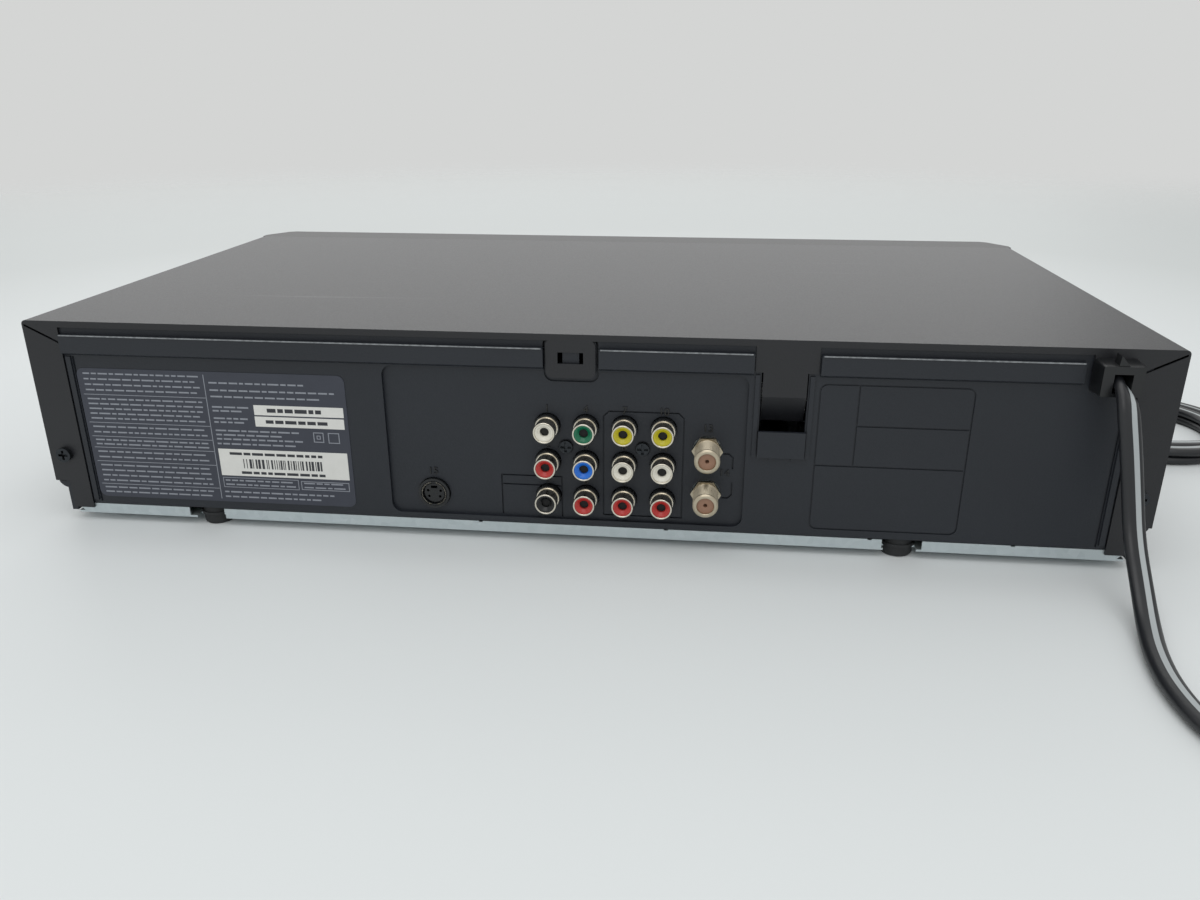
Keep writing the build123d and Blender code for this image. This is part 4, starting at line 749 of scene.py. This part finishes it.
tan_insulator = mottled("insulator_moulded_tan", ("#866450", "#94715b"), 1.5, (0.4, 0.5))
mouths = smooth(mesh_object("aerial_insulators", insulators, tan_insulator))
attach(mouths, "case")

# Video jack: the bright spring ring round its keyed insert, split at top and bottom.
SVIDEO_X, SVIDEO_Z = 55.2, 18.6
bm = bmesh.new()
for start in (12, 192):
    ring = [
        bm.verts.new((r * math.cos(math.radians(start)), y, r * math.sin(math.radians(start))))
        for r, y in ((4.6, 110.6), (4.95, 110.6), (4.95, 111.9), (4.6, 111.9))
    ]
    face = bm.faces.new(ring)
    bmesh.ops.spin(
        bm,
        geom=ring + face.edges[:] + [face],
        cent=(0, 0, 0),
        axis=(0, 1, 0),
        angle=-math.radians(156),
        steps=28,
        use_merge=False,
        use_duplicate=False,
    )
bmesh.ops.rotate(bm, cent=(0, 0, 0), matrix=Matrix.Rotation(math.pi / 2, 3, "Y"), verts=bm.verts)
bmesh.ops.translate(bm, vec=(SVIDEO_X, 0, SVIDEO_Z), verts=bm.verts)
bmesh.ops.recalc_face_normals(bm, faces=bm.faces)
bmesh.ops.scale(bm, vec=(MM, MM, MM), verts=bm.verts)
dull_nickel = mottled("nickel_plate_dull", ("#8a857b", "#9a958a"), 2.0, (0.3, 0.4), metallic=1.0)
spring_ring = smooth(mesh_object("svideo_ring", bm, dull_nickel), 30)
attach(spring_ring, "case")

# ---------------------------------------------------------------- bushing
# Moulded PVC strain relief, clipped into the panel with the cord pressed through it.
bushing_pvc = mottled("pvc_gloss", ("#111214", "#191b1d"), 3.0, (0.25, 0.35))
dress(bushing_pvc, "cord_bushing")

# ---------------------------------------------------------------- top cover
# One folded sheet of steel with a black textured powder paint, whose fine grain gives the top a
# grey sheen towards the light. A few faint rubs cross it.
textured_paint, tree, shader = new_material("black_paint_textured")
place = add(tree, "ShaderNodeTexCoord")
# The paint's grain is about 0.3 mm.
grain = add(tree, "ShaderNodeTexNoise", [("Vector", place.outputs["Object"])], Scale=1900.0, Detail=4.0)
cloud = add(tree, "ShaderNodeTexNoise", [("Vector", place.outputs["Object"])], Scale=9.0, Detail=2.0)
tint = add(tree, "ShaderNodeMix", [("Factor", cloud.outputs["Fac"])], data_type="RGBA")
tint.inputs["A"].default_value = linear("#15161a")
tint.inputs["B"].default_value = linear("#1b1c20")
tree.links.new(tint.outputs["Result"], shader.inputs["Base Color"])
gloss = add(tree, "ShaderNodeMapRange", [("Value", grain.outputs["Fac"])])
gloss.inputs["To Min"].default_value = 0.36
gloss.inputs["To Max"].default_value = 0.5
stretch = add(tree, "ShaderNodeMapping", [("Vector", place.outputs["Object"])])
stretch.inputs["Rotation"].default_value = (0, 0, 0.5)
stretch.inputs["Scale"].default_value = (3.0, 160.0, 1.0)
rubs = add(tree, "ShaderNodeTexNoise", [("Vector", stretch.outputs["Vector"])], Scale=1.0, Detail=2.0)
worn = add(tree, "ShaderNodeMapRange", [("Value", rubs.outputs["Fac"])])
for name, value in (("From Min", 0.7), ("From Max", 0.78), ("To Min", 0.0), ("To Max", 0.08)):
    worn.inputs[name].default_value = value
total = add(
    tree, "ShaderNodeMath", [(0, gloss.outputs[0]), (1, worn.outputs[0])], operation="SUBTRACT"
)
tree.links.new(total.outputs[0], shader.inputs["Roughness"])
bump = add(tree, "ShaderNodeBump", [("Height", grain.outputs["Fac"])], Strength=0.3, Distance=0.0002)
tree.links.new(bump.outputs[0], shader.inputs["Normal"])
dress(textured_paint, "top_cover")
# Cross-headed screws with a black zinc plate, glossier than the paint round them.
black_zinc = mottled("steel_black_zinc_plate", ("#2b2e31", "#3c3f43"), 0.8, (0.22, 0.32), metallic=0.8)
dress(black_zinc, "cover_screws", "jack_screws")

# ---------------------------------------------------------------- front
# Moulded ABS bezel with satin paint, satin buttons, the cassette flap and the tray's fascia, and
# a smoked acrylic window over the display.
bezel_paint = mottled("satin_paint_on_abs", ("#141517", "#191a1c"), 0.8, (0.4, 0.5), relief=0.03)
dress(bezel_paint, "front_bezel", "cassette_door", "tray_fascia")
button_paint = mottled("satin_silver_grey_paint", ("#54575b", "#5c5f63"), 0.6, (0.3, 0.4))
KEY_FACE = -122.7
pale_print = mottled("pad_print_pale", ("#c9ccd0", "#d4d7da"), 1.0, (0.5, 0.6))


def stamp(bm, sides, radius, turn, x, z, wide=1.0):
    """A thin printed shape on a key: its number of sides, its size, its turn and its place."""
    made = bmesh.ops.create_cone(
        bm, cap_ends=True, segments=sides, radius1=radius, radius2=radius, depth=0.05
    )["verts"]
    bmesh.ops.rotate(
        bm, cent=(0, 0, 0), matrix=Matrix.Rotation(math.radians(turn), 3, "Z"), verts=made
    )
    bmesh.ops.scale(bm, vec=(wide, 1, 1), verts=made)
    bmesh.ops.rotate(bm, cent=(0, 0, 0), matrix=Matrix.Rotation(math.pi / 2, 3, "X"), verts=made)
    bmesh.ops.translate(bm, vec=(x, KEY_FACE, z), verts=made)


UP, LEFT, RIGHT = 0, 90, -90
KEYS = (
    # name, x, z, the shapes of its sign: sides, radius, turn, offset in x and z, stretch in x
    ("power", -190.0, 33.0, ((24, 1.6, 0, 0, 0, 1.0),)),
    ("open_close", 17.0, 61.0, ((3, 1.3, UP, 0, 0.5, 1.2), (4, 0.4, 45, 0, -1.3, 4.0))),
    ("eject", 17.0, 47.0, ((3, 1.3, UP, 0, 0.5, 1.2), (4, 0.4, 45, 0, -1.3, 4.0))),
    ("rewind", -128.0, 22.0, ((3, 1.3, LEFT, -1.1, 0, 1.0), (3, 1.3, LEFT, 1.1, 0, 1.0))),
    ("play", -104.0, 22.0, ((3, 1.6, RIGHT, 0, 0, 1.0),)),
    ("forward", -80.0, 22.0, ((3, 1.3, RIGHT, -1.1, 0, 1.0), (3, 1.3, RIGHT, 1.1, 0, 1.0))),
    ("stop", -56.0, 22.0, ((4, 1.6, 45, 0, 0, 1.0),)),
    ("record", -32.0, 22.0, ((24, 1.3, 0, 0, 0, 1.0),)),
)
for name, x, z, shapes in KEYS:
    dress(button_paint, f"{name}_button")
    bm = bmesh.new()
    for sides, radius, turn, dx, dz, wide in shapes:
        stamp(bm, sides, radius, turn, x + dx, z + dz, wide)
    bmesh.ops.scale(bm, vec=(MM, MM, MM), verts=bm.verts)
    sign = mesh_object(f"{name}_sign", bm, pale_print)
    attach(sign, f"{name}_key")
smoked_acrylic, tree, shader = new_material("smoked_acrylic_moulded")
place = add(tree, "ShaderNodeTexCoord")
haze = add(tree, "ShaderNodeTexNoise", [("Vector", place.outputs["Object"])], Scale=30.0, Detail=2.0)
gloss = add(tree, "ShaderNodeMapRange", [("Value", haze.outputs["Fac"])])
gloss.inputs["To Min"].default_value = 0.04
gloss.inputs["To Max"].default_value = 0.09
tree.links.new(gloss.outputs[0], shader.inputs["Roughness"])
shader.inputs["Base Color"].default_value = linear("#0b0c10")
shader.inputs["Specular IOR Level"].default_value = 0.5
dress(smoked_acrylic, "display_window")

# The unset clock behind the window: four dashes and a colon of a fluorescent display.
bm = bmesh.new()
for x in (96.0, 104.0, 120.0, 128.0):
    plate(bm, (x - 2.4, x + 2.4), (36.6, 37.4), (KEY_FACE - 0.03, KEY_FACE + 0.03))
for z in (35.2, 38.8):
    plate(bm, (111.5, 112.5), (z - 0.5, z + 0.5), (KEY_FACE - 0.03, KEY_FACE + 0.03))
bmesh.ops.scale(bm, vec=(MM, MM, MM), verts=bm.verts)
phosphor = mottled("phosphor_behind_acrylic", ("#4f8f88", "#67aaa2"), 0.6, (0.3, 0.4))
clock = mesh_object("clock_segments", bm, phosphor)
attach(clock, "case")
